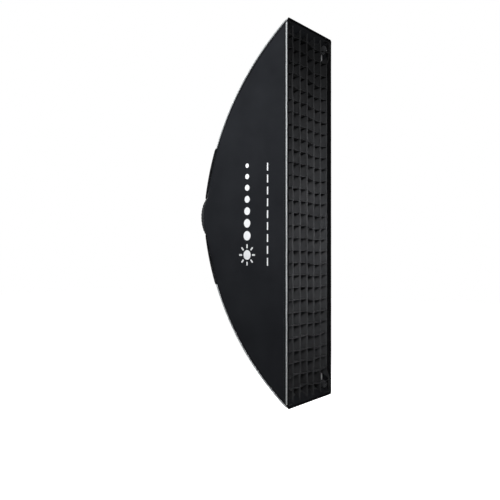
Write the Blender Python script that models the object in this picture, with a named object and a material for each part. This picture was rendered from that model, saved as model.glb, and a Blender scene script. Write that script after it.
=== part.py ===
"""A 30 x 120 cm studio strip softbox on a rotating speed ring with a three-lug bayonet adapter.

Frame: metres, +Z up along the long side, light leaves towards -Y. The origin is the centre of the
adapter's seat face, on the light's axis. Left is -X, right is +X. Four bowed rods hinge on the speed
ring about axes parallel to X and fold forward, like an umbrella, carrying the four fabric panels.
"""
import math

import bmesh
import bpy
from mathutils import Matrix, Vector

# --- Driving dimensions -----------------------------------------------------------------------------
GAP = 0.0004  # between pieces that touch
RING_SIDES = 40

# Mouth of the canopy, to the outside of the fabric, and where it lies along the light's axis.
MOUTH_W = 0.296
MOUTH_H = 1.196
FRONT_Y = -0.376
REAR_Y = -0.006  # rear edge of the fabric, around the speed ring
REAR_R = 0.0814  # radius of that edge
SEAM_SAG = 0.057  # bow of each corner seam off its straight chord
FABRIC = 0.0016  # thickness of the panels
SEAM_SETBACK = 0.0032  # a panel stops this far short of the seam's centre
PIPING_R = 0.0022
PIPING_START = 0.312  # just past the end of the black guard
PIPING_END = 0.974  # the seam piping ends here, just behind the piping of the mouth
MOUTH_PIPING_T = 0.0018
MOUTH_PIPING_DEPTH = 0.0085
GUARD_R = 0.0030
GUARD_START = 0.006
GUARD_END = 0.30  # the black guards take over from the piping here, near the ring
GUARD_STAND = 0.0022
SIDE_SLACK = 0.004  # the side panels pull in this far between the rods
CAP_SLACK = 0.011  # and the top and bottom panels this far
PANEL_STEPS = 14  # from the ring to the mouth
CAP_STEPS = 8  # across a top or bottom panel
SIDE_STEPS = 14  # across a side panel

# Speed ring and bayonet adapter: radii, and places along the axis, front being more negative.
BORE_R = 0.0485
NECK_R = 0.0525
LUG_R = 0.0590
HUB_R = 0.0565
FLANGE_R = 0.0740
RING_IN_R = 0.0570
RING_OUT_R = 0.0755
RETAINER_R = 0.0585
NECK_END_Y = 0.016
FLANGE_T = 0.005
WASHER_R = 0.070
WASHER_T = 0.0013
RING_BACK_Y = -(FLANGE_T + WASHER_T + 2 * GAP)
RING_FRONT_Y = -0.020
RETAINER_T = 0.003
CUFF_IN_R = RING_OUT_R + GAP
CUFF_T = 0.0016
CUFF_BACK_Y = -0.0035
CUFF_SHORT = 0.0015  # the cuff stops this far short of the ring's front face
CUFF_HOLE_R = 0.0038  # for the lock's screw

# Rod hinges, sockets and rods.
PIVOT_X = 0.050
PIVOT_Y = -0.030
PIVOT_Z = 0.052
BARREL_R = 0.0075
BARREL_W = 0.014
EAR_T = 0.003
EAR_DEPTH = 0.008
PIN_R = 0.002
SLEEVE_R = 0.0055
SLEEVE_LEN = 0.048
BORE_START = 0.014  # the sleeve's bore starts this far from the pin
ROD_R = 0.0035
ROD_LEAN = math.radians(15)  # how far a rod leans forward as it leaves its socket
TIP_X = 0.1325
TIP_Z = 0.5720
TIP_Y = -0.3600
ROD_STEPS = 18
TIP_CAP_R = 0.0052
TIP_CAP_LEN = 0.016
TIP_CAP_END = 0.003  # how far the cap reaches past the end of the rod
TIP_CAP_FIT = 0.0002  # extra room round the rod in the cap
POCKET_R = 0.0078
POCKET_LEN = 0.026
POCKET_END = 0.005  # how far the pocket reaches past the end of the rod
POCKET_FLOOR = 0.0015  # thickness of its closed end

# Release buttons and the rotation lock.
BUTTON_X = 0.022
BUTTON_Z = 0.062
BUTTON_R = 0.005
BUTTON_OUT = 0.0045  # how far it stands out of the ring
BUTTON_POCKET = 0.0105
LOCK_Y = -0.0135
LOCK_SCREW_R = 0.003
LOCK_HEAD_X = 0.0815
LOCK_HEAD_R = 0.0100
LOCK_HEAD_LEN = 0.015
LOCK_SCREW_CLEAR = 0.0009  # from the screw's point to the hub, when it is slack
LOCK_FLUTES = 6
LOCK_FLUTE_R = 0.0026
LOCK_FLUTE_CIRCLE_R = 0.0112
LOCK_RIM = 0.003  # the flutes start this far up the head
LOCK_NOTCH_HALF = 0.0135  # the fabric is cut back this far each side of the knob
LOCK_NOTCH_Y = -0.030

# Bayonet lugs and the screws of the retaining ring.
LUGS = 3
LUG_Y = 0.011
LUG_T = 0.0035
LUG_ARC = math.radians(44)
LUG_ROOT = 0.0015  # how deep a lug is let into the neck
SCREWS = 4
SCREW_CIRCLE_R = 0.0530
SCREW_HEAD_R = 0.0023
SCREW_HEAD_T = 0.0016
SCREW_SHANK_R = 0.0013
SCREW_REACH = 0.009

# Front fittings.
HEM_DEPTH = 0.010
HEM_T = 0.0026
HEM_CLEAR = 0.0036  # from the outside of the sloping panels to the hem
GRID_COLUMNS = 6
GRID_ROWS = 30
GRID_DEPTH = 0.040
GRID_WALL = 0.0014
GRID_HALF_W = 0.1400  # inside the hem, so that the grid can be drawn out forwards
GRID_HALF_H = 0.5835
GRID_BACK_HALF_W = 0.1350
GRID_BACK_HALF_H = 0.5530
RELIEF_ROWS = 2  # rows left out of the outer columns at each corner, where the rods pass
DIFFUSER_HALF_W = 0.1310
DIFFUSER_HALF_H = 0.5420
DIFFUSER_CUT_W = 0.0400
DIFFUSER_CUT_H = 0.0900
BAFFLE_Y = -0.185
BAFFLE_HALF_W = 0.080
BAFFLE_HALF_H = 0.290
SHEET_T = 0.0014
STRAP_W = 0.016
STRAP_X = 0.1085
STRAP_RISE = 0.030

CORNERS = {
    "top_left": (-1, 1),
    "top_right": (1, 1),
    "bottom_left": (-1, -1),
    "bottom_right": (1, -1),
}


# --- Materials and objects --------------------------------------------------------------------------
def material(name, colour, roughness, metallic=0.0):
    made = bpy.data.materials.new(name)
    made.use_nodes = True
    shader = made.node_tree.nodes["Principled BSDF"]
    shader.inputs["Base Color"].default_value = (*colour, 1.0)
    shader.inputs["Roughness"].default_value = roughness
    shader.inputs["Metallic"].default_value = metallic
    return made


def add(name, data, look):
    """Put a mesh or curve in the scene under its own name, with its own copy of a material."""
    made = bpy.data.objects.new(name, data)
    bpy.context.scene.collection.objects.link(made)
    made.data.materials.append(look.copy())
    return made


def mesh_from(bm, name):
    mesh = bpy.data.meshes.new(name)
    bm.to_mesh(mesh)
    bm.free()
    return mesh


def closed_mesh(bm, name):
    bmesh.ops.recalc_face_normals(bm, faces=bm.faces)
    return mesh_from(bm, name)


def smooth(made, angle=40):
    made.data.shade_smooth()
    made.data.set_sharp_from_angle(angle=math.radians(angle))


def turned(name, profile, look, sides=RING_SIDES):
    """A ring turned about the light's axis from a closed profile of (radius, y) points."""
    bm = bmesh.new()
    loops = []
    for i in range(sides):
        turn = 2 * math.pi * i / sides
        loops.append([bm.verts.new((r * math.cos(turn), y, r * math.sin(turn))) for r, y in profile])
    count = len(profile)
    for i in range(sides):
        here, there = loops[i], loops[(i + 1) % sides]
        for k in range(count):
            n = (k + 1) % count
            bm.faces.new((here[k], here[n], there[n], there[k]))
    made = add(name, closed_mesh(bm, name), look)
    smooth(made)
    return made


def box_mesh(name, low, high):
    size = [b - a for a, b in zip(low, high)]
    middle = [(a + b) / 2 for a, b in zip(low, high)]
    bm = bmesh.new()
    bmesh.ops.create_cube(bm, size=1.0, matrix=Matrix.Translation(middle) @ Matrix.Diagonal((*size, 1.0)))
    return closed_mesh(bm, name)


def rod_mesh(name, start, end, radius, sides=12, end_radius=None):
    """A straight cylinder, or cone, between two points."""
    start, end = Vector(start), Vector(end)
    along = end - start
    turn = along.to_track_quat("Z", "Y").to_matrix().to_4x4()
    bm = bmesh.new()
    bmesh.ops.create_cone(
        bm,
        cap_ends=True,
        segments=sides,
        radius1=radius,
        radius2=radius if end_radius is None else end_radius,
        depth=along.length,
        matrix=Matrix.Translation((start + end) / 2) @ turn,
    )
    return closed_mesh(bm, name)


def combine(target, mesh, operation):
    """Cut a mesh from an object, or join it on, with an exact Boolean that stays on the object."""
    tool = bpy.data.objects.new(f"{target.name}_tool", mesh)
    bpy.context.scene.collection.objects.link(tool)
    tool.hide_render = True
    tool.display_type = "WIRE"
    step = target.modifiers.new(operation.lower(), "BOOLEAN")
    step.operation = operation
    step.object = tool


def cord(name, points, radius, look, resolution=1):
    """A round cord or rod along a list of points, with closed ends."""
    curve = bpy.data.curves.new(name, "CURVE")
    curve.dimensions = "3D"
    curve.bevel_depth = radius
    curve.bevel_resolution = resolution
    curve.use_fill_caps = True
    line = curve.splines.new("POLY")
    line.points.add(len(points) - 1)
    for place, point in zip(line.points, points):
        place.co = (*point, 1.0)
    return add(name, curve, look)


def on_axis(made, point):
    """Move an object's origin onto its joint's axis without moving its shape."""
    point = Vector(point)
    made.data.transform(Matrix.Translation(-point))
    made.location = point


# --- Shape of the canopy ----------------------------------------------------------------------------
def arc_point(start, end, half_turn, t):
    """A point on the arc from start to end, which turns by half_turn each way off its chord."""
    start, end = Vector(start), Vector(end)
    chord = end - start
    outward = Vector((-chord.y, chord.x)).normalized()
    radius = chord.length / (2 * math.sin(half_turn))
    centre = (start + end) / 2 - outward * radius * math.cos(half_turn)
    turn = half_turn * (2 * t - 1)
    return centre + radius * (outward * math.cos(turn) + chord.normalized() * math.sin(turn))


SEAM_START = REAR_R * math.sqrt(0.5)
SEAM_RUN = Vector((MOUTH_W / 2 - SEAM_START, MOUTH_H / 2 - SEAM_START))
SEAM_CHORD = math.hypot(SEAM_RUN.length, FRONT_Y - REAR_Y)
SEAM_HALF_TURN = 2 * math.atan(2 * SEAM_SAG / SEAM_CHORD)


def seam(t):
    """Half width, y and half height of the canopy's corner, from the ring at 0 to the mouth at 1."""
    out, y = arc_point((0, REAR_Y), (SEAM_RUN.length, FRONT_Y), SEAM_HALF_TURN, t)
    share = out / SEAM_RUN.length
    return SEAM_START + SEAM_RUN.x * share, y, SEAM_START + SEAM_RUN.y * share


def seam_normal(t):
    """Unit vector out of the canopy at a seam, for the corner at +X and +Z."""
    step = 0.001
    a, b = Vector(seam(t - step)), Vector(seam(t + step))
    along = (b - a).normalized()
    side = Vector((SEAM_RUN.y, 0, -SEAM_RUN.x)).normalized()
    return side.cross(along).normalized() * -1


def bulge(t, slack):
    """How far a panel stands out between its seams: round at the ring, slack half way."""
    return REAR_R * (1 - math.sqrt(0.5)) * (1 - t) ** 4 - slack * math.sin(math.pi * t)


def panel(name, across_x, sign, look):
    """One fabric panel between two seams: top and bottom run across X, the sides across Z."""
    steps_across = CAP_STEPS if across_x else SIDE_STEPS
    bm = bmesh.new()
    rows = []
    for i in range(PANEL_STEPS + 1):
        t = i / PANEL_STEPS
        half_w, y, half_h = seam(t)
        edge = Vector(seam(t)) - seam_normal(t) * SEAM_SETBACK
        row = []
        for k in range(steps_across + 1):
            v = 2 * k / steps_across - 1
            stand = bulge(t, CAP_SLACK if across_x else SIDE_SLACK) * (1 - v * v)
            if across_x:
                place = ((half_w - SEAM_SETBACK) * v, y, sign * (half_h + stand))
            else:
                place = (sign * (half_w + stand), y + (edge.y - y) * v * v, edge.z * v)
            row.append(bm.verts.new(place))
        rows.append(row)
    for a, b in zip(rows, rows[1:]):
        for k in range(steps_across):
            bm.faces.new((a[k], a[k + 1], b[k + 1], b[k]))
    bm.normal_update()
    outward = Vector((0, 0, sign)) if across_x else Vector((sign, 0, 0))
    if sum(face.normal.dot(outward) for face in bm.faces) < 0:
        bmesh.ops.reverse_faces(bm, faces=bm.faces)
    made = add(name, mesh_from(bm, name), look)
    skin = made.modifiers.new("thickness", "SOLIDIFY")
    skin.thickness = FABRIC
    skin.offset = -1
    smooth(made)
    return made


def seam_cord(name, side, up, span, radius, stand, look):
    """A cord that follows a corner seam over a span of it, standing off it by stand."""
    start, end = span
    steps = round(20 * (end - start))
    points = []
    for i in range(steps + 1):
        t = start + (end - start) * i / steps
        point = Vector(seam(t)) + seam_normal(t) * stand
        points.append((side * point.x, point.y, up * point.z))
    return cord(name, points, radius, look)


# --- Shape of the rods ------------------------------------------------------------------------------
ROD_PLANE = Vector((TIP_X - PIVOT_X, TIP_Z - PIVOT_Z)).normalized()
ROD_REACH = math.hypot(TIP_X - PIVOT_X, TIP_Z - PIVOT_Z)


def rod_place(out, y, side, up):
    """A point of a rod's plane, out along it from the pin, in the object's frame."""
    return Vector((side * (PIVOT_X + ROD_PLANE.x * out), y, up * (PIVOT_Z + ROD_PLANE.y * out)))


def socket_place(distance, side, up):
    """A point this far from the pin along a socket's straight bore."""
    out = distance * math.cos(ROD_LEAN)
    return rod_place(out, PIVOT_Y - distance * math.sin(ROD_LEAN), side, up)


def rod_arc():
    """Start, end and half turn of a rod's arc, which leaves the socket in line with its bore."""
    start = Vector((SLEEVE_LEN * math.cos(ROD_LEAN), PIVOT_Y - SLEEVE_LEN * math.sin(ROD_LEAN)))
    end = Vector((ROD_REACH, TIP_Y))
    chord = end - start
    return start, end, math.atan2(-chord.y, chord.x) - ROD_LEAN


def rod_points(side, up):
    start, end, half_turn = rod_arc()
    points = [socket_place(BORE_START + GAP, side, up)]
    for i in range(ROD_STEPS + 1):
        out, y = arc_point(start, end, half_turn, i / ROD_STEPS)
        points.append(rod_place(out, y, side, up))
    return points


# --- Sub-parts --------------------------------------------------------------------------------------
def lug_mesh(middle, steps=5):
    """One bayonet lug: a curved bar around the neck, centred on the angle middle."""
    root_r = NECK_R - LUG_ROOT
    profile = [(root_r, LUG_Y), (LUG_R, LUG_Y), (LUG_R, LUG_Y + LUG_T), (root_r, LUG_Y + LUG_T)]
    bm = bmesh.new()
    loops = []
    for k in range(steps + 1):
        turn = middle + LUG_ARC * (k / steps - 0.5)
        loops.append([bm.verts.new((r * math.cos(turn), y, r * math.sin(turn))) for r, y in profile])
    for a, b in zip(loops, loops[1:]):
        for n in range(4):
            bm.faces.new((a[n], a[(n + 1) % 4], b[(n + 1) % 4], b[n]))
    bm.faces.new(loops[0])
    bm.faces.new(loops[-1])
    return closed_mesh(bm, "lug")


def bayonet_adapter(look):
    """Flange with the seat face, neck with three lugs behind it, and the hub the ring turns on."""
    profile = [
        (BORE_R, NECK_END_Y),
        (NECK_R, NECK_END_Y),
        (NECK_R, 0.0),
        (FLANGE_R, 0.0),
        (FLANGE_R, -FLANGE_T),
        (HUB_R, -FLANGE_T),
        (HUB_R, RING_FRONT_Y),
        (BORE_R, RING_FRONT_Y),
    ]
    made = turned("bayonet_adapter", profile, look)
    for i in range(LUGS):
        combine(made, lug_mesh(math.radians(90 + 360 * i / LUGS)), "UNION")
    return made


def retaining_ring(look):
    back, front = RING_FRONT_Y - GAP, RING_FRONT_Y - GAP - RETAINER_T
    return turned(
        "retaining_ring",
        [(BORE_R, back), (RETAINER_R, back), (RETAINER_R, front), (BORE_R, front)],
        look,
    )


def retaining_screws(holders, look):
    """Four screws through the retaining ring into the hub, and the holes they pass through."""
    face = RING_FRONT_Y - GAP - RETAINER_T
    for i in range(SCREWS):
        turn = 2 * math.pi * i / SCREWS
        x, z = SCREW_CIRCLE_R * math.cos(turn), SCREW_CIRCLE_R * math.sin(turn)

        def at(y):
            return (x, y, z)

        name = f"retaining_screw_{i + 1}"
        under_head = face - GAP
        head = rod_mesh(name, at(under_head), at(under_head - SCREW_HEAD_T), SCREW_HEAD_R, 12)
        made = add(name, head, look)
        inside_head = at(under_head - SCREW_HEAD_T / 2)
        shank = rod_mesh("shank", inside_head, at(face + SCREW_REACH), SCREW_SHANK_R, 8)
        combine(made, shank, "UNION")
        for holder in holders:
            ends = at(face - 0.002), at(face + SCREW_REACH + 0.001)
            combine(holder, rod_mesh("screw_hole", *ends, SCREW_SHANK_R + GAP, 8), "DIFFERENCE")


def speed_ring(look):
    """The turning ring, with an ear each side of every rod socket, button pockets and the lock's hole."""
    chamfer = 0.0012
    profile = [
        (RING_IN_R, RING_BACK_Y),
        (RING_OUT_R - chamfer, RING_BACK_Y),
        (RING_OUT_R, RING_BACK_Y - chamfer),
        (RING_OUT_R, RING_FRONT_Y + chamfer),
        (RING_OUT_R - chamfer, RING_FRONT_Y),
        (RING_IN_R, RING_FRONT_Y),
    ]
    made = turned("speed_ring", profile, look)
    inner = BARREL_W / 2 + GAP
    for side, up in CORNERS.values():
        for low in (-inner - EAR_T, inner):
            x = sorted((side * (PIVOT_X + low), side * (PIVOT_X + low + EAR_T)))
            z = sorted((up * (PIVOT_Z - EAR_DEPTH), up * (PIVOT_Z + EAR_DEPTH)))
            ear = box_mesh("ear", (x[0], PIVOT_Y - EAR_DEPTH, z[0]), (x[1], RING_FRONT_Y + 0.001, z[1]))
            combine(made, ear, "UNION")
        reach = inner + EAR_T + 0.002
        pin_hole = rod_mesh(
            "pin_hole",
            (side * (PIVOT_X - reach), PIVOT_Y, up * PIVOT_Z),
            (side * (PIVOT_X + reach), PIVOT_Y, up * PIVOT_Z),
            PIN_R + GAP,
        )
        combine(made, pin_hole, "DIFFERENCE")
        place = Vector((side * BUTTON_X, RING_FRONT_Y, up * BUTTON_Z))
        floor = place + Vector((0, BUTTON_POCKET, 0))
        mouth = place - Vector((0, 0.002, 0))
        combine(made, rod_mesh("button_pocket", mouth, floor, BUTTON_R + GAP, 16), "DIFFERENCE")
    hole = rod_mesh("lock_hole", (NECK_R, LOCK_Y, 0), (LOCK_HEAD_X, LOCK_Y, 0), LOCK_SCREW_R + GAP)
    combine(made, hole, "DIFFERENCE")
    return made


def lock_knob(look):
    """Thumb screw that clamps the ring at any angle: a screw and a fluted head on its own axis."""
    name = "lock_knob"
    head = rod_mesh(
        name, (LOCK_HEAD_X, LOCK_Y, 0), (LOCK_HEAD_X + LOCK_HEAD_LEN, LOCK_Y, 0), LOCK_HEAD_R, 24
    )
    made = add(name, head, look)
    for i in range(LOCK_FLUTES):
        turn = 2 * math.pi * (i + 0.5) / LOCK_FLUTES
        y, z = LOCK_Y + LOCK_FLUTE_CIRCLE_R * math.cos(turn), LOCK_FLUTE_CIRCLE_R * math.sin(turn)
        ends = (LOCK_HEAD_X + LOCK_RIM, y, z), (LOCK_HEAD_X + LOCK_HEAD_LEN + 0.005, y, z)
        combine(made, rod_mesh("flute", *ends, LOCK_FLUTE_R, 10), "DIFFERENCE")
    inside_head = LOCK_HEAD_X + LOCK_RIM
    ends = (HUB_R + LOCK_SCREW_CLEAR, LOCK_Y, 0), (inside_head, LOCK_Y, 0)
    screw = rod_mesh("screw", *ends, LOCK_SCREW_R)
    combine(made, screw, "UNION")
    on_axis(made, (HUB_R, LOCK_Y, 0))


def rear_cuff(look):
    """Elastic cuff that closes the fabric on the ring, with a hole for the lock screw."""
    back, front = CUFF_BACK_Y, RING_FRONT_Y + CUFF_SHORT
    out = CUFF_IN_R + CUFF_T
    made = turned("rear_cuff", [(CUFF_IN_R, back), (out, back), (out, front), (CUFF_IN_R, front)], look)
    hole = rod_mesh("screw_hole", (RING_IN_R, LOCK_Y, 0), (LOCK_HEAD_X, LOCK_Y, 0), CUFF_HOLE_R)
    combine(made, hole, "DIFFERENCE")


def rod_assembly(corner, side, up, looks):
    """Socket, hinge pin, bowed rod, tip cap and corner pocket of one corner."""
    pivot = Vector((side * PIVOT_X, PIVOT_Y, up * PIVOT_Z))
    half = Vector((BARREL_W / 2, 0, 0))
    name = f"rod_socket_{corner}"
    socket = add(name, rod_mesh(name, pivot - half, pivot + half, BARREL_R, 20), looks["plastic"])
    sleeve_ends = socket_place(0.0, side, up), socket_place(SLEEVE_LEN, side, up)
    combine(socket, rod_mesh("sleeve", *sleeve_ends, SLEEVE_R, 16), "UNION")
    bore_ends = socket_place(BORE_START, side, up), socket_place(SLEEVE_LEN + 0.01, side, up)
    combine(socket, rod_mesh("bore", *bore_ends, ROD_R + GAP, 12), "DIFFERENCE")
    reach = half + Vector((0.005, 0, 0))
    combine(socket, rod_mesh("pin_bore", pivot - reach, pivot + reach, PIN_R + GAP), "DIFFERENCE")

    reach = half + Vector((GAP + EAR_T + 0.001, 0, 0))
    name = f"hinge_pin_{corner}"
    add(name, rod_mesh(name, pivot - reach, pivot + reach, PIN_R, 10), looks["steel"])

    points = rod_points(side, up)
    cord(f"rod_{corner}", points, ROD_R, looks["steel"], resolution=2)

    along = (points[-1] - points[-2]).normalized()
    end = points[-1]
    name = f"rod_tip_{corner}"
    cap_start = end - along * (TIP_CAP_LEN - TIP_CAP_END)
    cap = add(name, rod_mesh(name, cap_start, end + along * TIP_CAP_END, TIP_CAP_R, 12), looks["rubber"])
    hollow_ends = cap_start - along * 0.002, end + along * GAP
    hollow = rod_mesh("hollow", *hollow_ends, ROD_R + GAP + TIP_CAP_FIT, 12)
    combine(cap, hollow, "DIFFERENCE")

    name = f"corner_pocket_{corner}"
    pocket_end = end + along * POCKET_END
    pocket_start = pocket_end - along * POCKET_LEN
    pocket = add(name, rod_mesh(name, pocket_start, pocket_end, POCKET_R, 12), looks["nylon"])
    inside_ends = pocket_start - along * 0.002, pocket_end - along * POCKET_FLOOR
    inside = rod_mesh("inside", *inside_ends, TIP_CAP_R + GAP, 12)
    combine(pocket, inside, "DIFFERENCE")


def release_button(corner, side, up, look):
    """Sprung button that frees one rod's socket: pressed straight into the ring."""
    name = f"release_button_{corner}"
    travel_room = 0.004
    floor = RING_FRONT_Y + BUTTON_POCKET - travel_room
    start = (side * BUTTON_X, floor, up * BUTTON_Z)
    end = (side * BUTTON_X, RING_FRONT_Y - BUTTON_OUT, up * BUTTON_Z)
    made = add(name, rod_mesh(name, start, end, BUTTON_R, 16), look)
    on_axis(made, end)


def canopy(looks):
    """Four panels, the grey piping on their seams, and the black guards near the ring."""
    panel("side_panel_left", False, -1, looks["nylon"])
    right = panel("side_panel_right", False, 1, looks["nylon"])
    low = (RING_OUT_R - 0.005, LOCK_NOTCH_Y, -LOCK_NOTCH_HALF)
    notch = box_mesh("lock_notch", low, (LOCK_HEAD_X + 0.03, 0.010, LOCK_NOTCH_HALF))
    combine(right, notch, "DIFFERENCE")
    panel("top_panel", True, 1, looks["nylon"])
    panel("bottom_panel", True, -1, looks["nylon"])
    for corner, (side, up) in CORNERS.items():
        piping_span, guard_span = (PIPING_START, PIPING_END), (GUARD_START, GUARD_END)
        seam_cord(f"seam_piping_{corner}", side, up, piping_span, PIPING_R, 0.0, looks["piping"])
        seam_cord(f"seam_guard_{corner}", side, up, guard_span, GUARD_R, GUARD_STAND, looks["hook"])


def rectangle_frame(name, half_w, half_h, thick, low_y, high_y, look):
    """An open rectangular frame, thick towards its inside, from low_y to high_y."""
    bm = bmesh.new()
    loops = []
    for inset, y in ((0, low_y), (0, high_y), (thick, high_y), (thick, low_y)):
        x, z = half_w - inset, half_h - inset
        loops.append([bm.verts.new((i * x, y, k * z)) for i, k in ((-1, -1), (1, -1), (1, 1), (-1, 1))])
    for n, here in enumerate(loops):
        there = loops[(n + 1) % 4]
        for k in range(4):
            bm.faces.new((here[k], here[(k + 1) % 4], there[(k + 1) % 4], there[k]))
    return add(name, closed_mesh(bm, name), look)


def mouth(looks):
    """Hook-and-loop hem inside the mouth, and the piping around its outside."""
    # The hem lies where the panels are narrowest, at its own rear edge.
    rear_half_w, rear_half_h = half_size_at(FRONT_Y + HEM_DEPTH)
    rectangle_frame(
        "front_hem",
        rear_half_w - HEM_CLEAR,
        rear_half_h - HEM_CLEAR,
        HEM_T,
        FRONT_Y,
        FRONT_Y + HEM_DEPTH,
        looks["hook"],
    )
    rectangle_frame(
        "front_piping",
        MOUTH_W / 2 + GAP + MOUTH_PIPING_T,
        MOUTH_H / 2 + GAP + MOUTH_PIPING_T,
        MOUTH_PIPING_T,
        FRONT_Y,
        FRONT_Y + MOUTH_PIPING_DEPTH,
        looks["piping"],
    )


def half_size_at(y):
    """The canopy's half width and half height at a place along the axis, by halving the interval."""
    low, high = 0.0, 1.0
    for _ in range(40):
        t = (low + high) / 2
        if seam(t)[1] > y:
            low = t
        else:
            high = t
    half_w, _, half_h = seam(low)
    return half_w, half_h


def grid_lines(count, half, back_half):
    """Front and rear places of every wall's two faces across one direction of the grid."""
    pitch = 2 * half / count
    lines = []
    for i in range(count + 1):
        middle = -half + pitch * i
        faces = [middle - GRID_WALL / 2, middle + GRID_WALL / 2]
        if i == 0:
            faces = [-half, -half + GRID_WALL]
        if i == count:
            faces = [half - GRID_WALL, half]
        shift = (half - back_half) * (1 if i == 0 else -1 if i == count else 0)
        lines += [(face, face + shift) for face in faces]
    return lines


def egg_crate(look):
    """Fabric grid of crossing walls, narrower at its rear edge where the canopy tapers."""
    xs = grid_lines(GRID_COLUMNS, GRID_HALF_W, GRID_BACK_HALF_W)
    zs = grid_lines(GRID_ROWS, GRID_HALF_H, GRID_BACK_HALF_H)
    front_y = FRONT_Y + HEM_DEPTH + GAP
    back_y = front_y + GRID_DEPTH
    bm = bmesh.new()
    front, back = {}, {}

    def corner_vert(i, k):
        if (i, k) not in front:
            front[i, k] = bm.verts.new((xs[i][0], front_y, zs[k][0]))
            back[i, k] = bm.verts.new((xs[i][1], back_y, zs[k][1]))
        return front[i, k], back[i, k]

    def is_wall(i, k):
        """Whether the patch from line i to i + 1 and k to k + 1 is wall and not an open cell."""
        if not (0 <= i < len(xs) - 1 and 0 <= k < len(zs) - 1):
            return False
        outer = i < 2 or i > len(xs) - 4
        end_rows = 2 * RELIEF_ROWS
        if outer and (k < end_rows or k > len(zs) - 2 - end_rows):
            return False
        return i % 2 == 0 or k % 2 == 0

    for i in range(len(xs) - 1):
        for k in range(len(zs) - 1):
            if not is_wall(i, k):
                continue
            ring = [corner_vert(*c) for c in ((i, k), (i + 1, k), (i + 1, k + 1), (i, k + 1))]
            bm.faces.new([v[0] for v in ring])
            bm.faces.new([v[1] for v in reversed(ring)])
            neighbours = ((i, k - 1), (i + 1, k), (i, k + 1), (i - 1, k))
            for n, beside in enumerate(neighbours):
                if not is_wall(*beside):
                    a, b = ring[n], ring[(n + 1) % 4]
                    bm.faces.new((a[1], b[1], b[0], a[0]))
    add("grid", closed_mesh(bm, "grid"), look)
    return back_y


def flat_sheet(name, outline, y, look):
    """A thin sheet across the light's axis, from an outline of (x, z) points."""
    bm = bmesh.new()
    face = bm.faces.new([bm.verts.new((x, y, z)) for x, z in outline])
    made = bmesh.ops.extrude_face_region(bm, geom=[face])["geom"]
    moved = [v for v in made if isinstance(v, bmesh.types.BMVert)]
    bmesh.ops.translate(bm, verts=moved, vec=(0, SHEET_T, 0))
    return add(name, closed_mesh(bm, name), look)


def sheets(grid_back, looks):
    """Front diffuser, inner baffle and the four elastic straps that hold the baffle."""
    w, h = DIFFUSER_HALF_W, DIFFUSER_HALF_H
    cw, ch = w - DIFFUSER_CUT_W, h - DIFFUSER_CUT_H
    outline = [(-cw, -h), (cw, -h), (w, -ch), (w, ch), (cw, h), (-cw, h), (-w, ch), (-w, -ch)]
    flat_sheet("front_diffuser", outline, grid_back + 0.001, looks["diffuser"])
    w, h = BAFFLE_HALF_W, BAFFLE_HALF_H
    flat_sheet("inner_baffle", [(-w, -h), (w, -h), (w, h), (-w, h)], BAFFLE_Y, looks["diffuser"])
    for corner, (side, up) in CORNERS.items():
        start = Vector((side * (w + GAP), up * (h - STRAP_W)))
        end = Vector((side * STRAP_X, up * (h - STRAP_W + STRAP_RISE)))
        across = Vector((0, up * STRAP_W))
        strap = [start, end, end + across, start + across]
        flat_sheet(f"baffle_strap_{corner}", strap, BAFFLE_Y, looks["hook"])


def build():
    for old in list(bpy.data.objects):
        bpy.data.objects.remove(old, do_unlink=True)
    looks = {
        "nylon": material("black_nylon", (0.020, 0.021, 0.024), 0.75),
        "piping": material("grey_piping", (0.36, 0.39, 0.40), 0.60),
        "hook": material("hook_and_loop", (0.010, 0.010, 0.011), 0.95),
        "grid": material("grid_fabric", (0.030, 0.031, 0.034), 0.80),
        "diffuser": material("white_diffusion", (0.86, 0.86, 0.84), 0.80),
        "metal": material("black_anodised", (0.025, 0.025, 0.028), 0.38, 0.7),
        "plastic": material("black_nylon_plastic", (0.022, 0.022, 0.024), 0.50),
        "steel": material("spring_steel", (0.55, 0.56, 0.58), 0.30, 1.0),
        "rubber": material("rubber", (0.018, 0.018, 0.018), 0.85),
        "washer": material("bearing_washer", (0.80, 0.80, 0.78), 0.45),
        "button": material("release_red", (0.45, 0.02, 0.02), 0.45),
    }
    adapter = bayonet_adapter(looks["metal"])
    back = -(FLANGE_T + GAP)
    washer = [(RING_IN_R, back), (WASHER_R, back), (WASHER_R, back - WASHER_T), (RING_IN_R, back - WASHER_T)]
    turned("slide_washer", washer, looks["washer"])
    retainer = retaining_ring(looks["metal"])
    retaining_screws((adapter, retainer), looks["steel"])
    speed_ring(looks["metal"])
    lock_knob(looks["plastic"])
    rear_cuff(looks["hook"])
    for corner, (side, up) in CORNERS.items():
        rod_assembly(corner, side, up, looks)
        release_button(corner, side, up, looks["button"])
    canopy(looks)
    mouth(looks)
    grid_back = egg_crate(looks["grid"])
    sheets(grid_back, looks)


build()
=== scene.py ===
import math
from functools import partial

import bmesh
import bpy
import numpy as np
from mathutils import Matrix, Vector, noise


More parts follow.
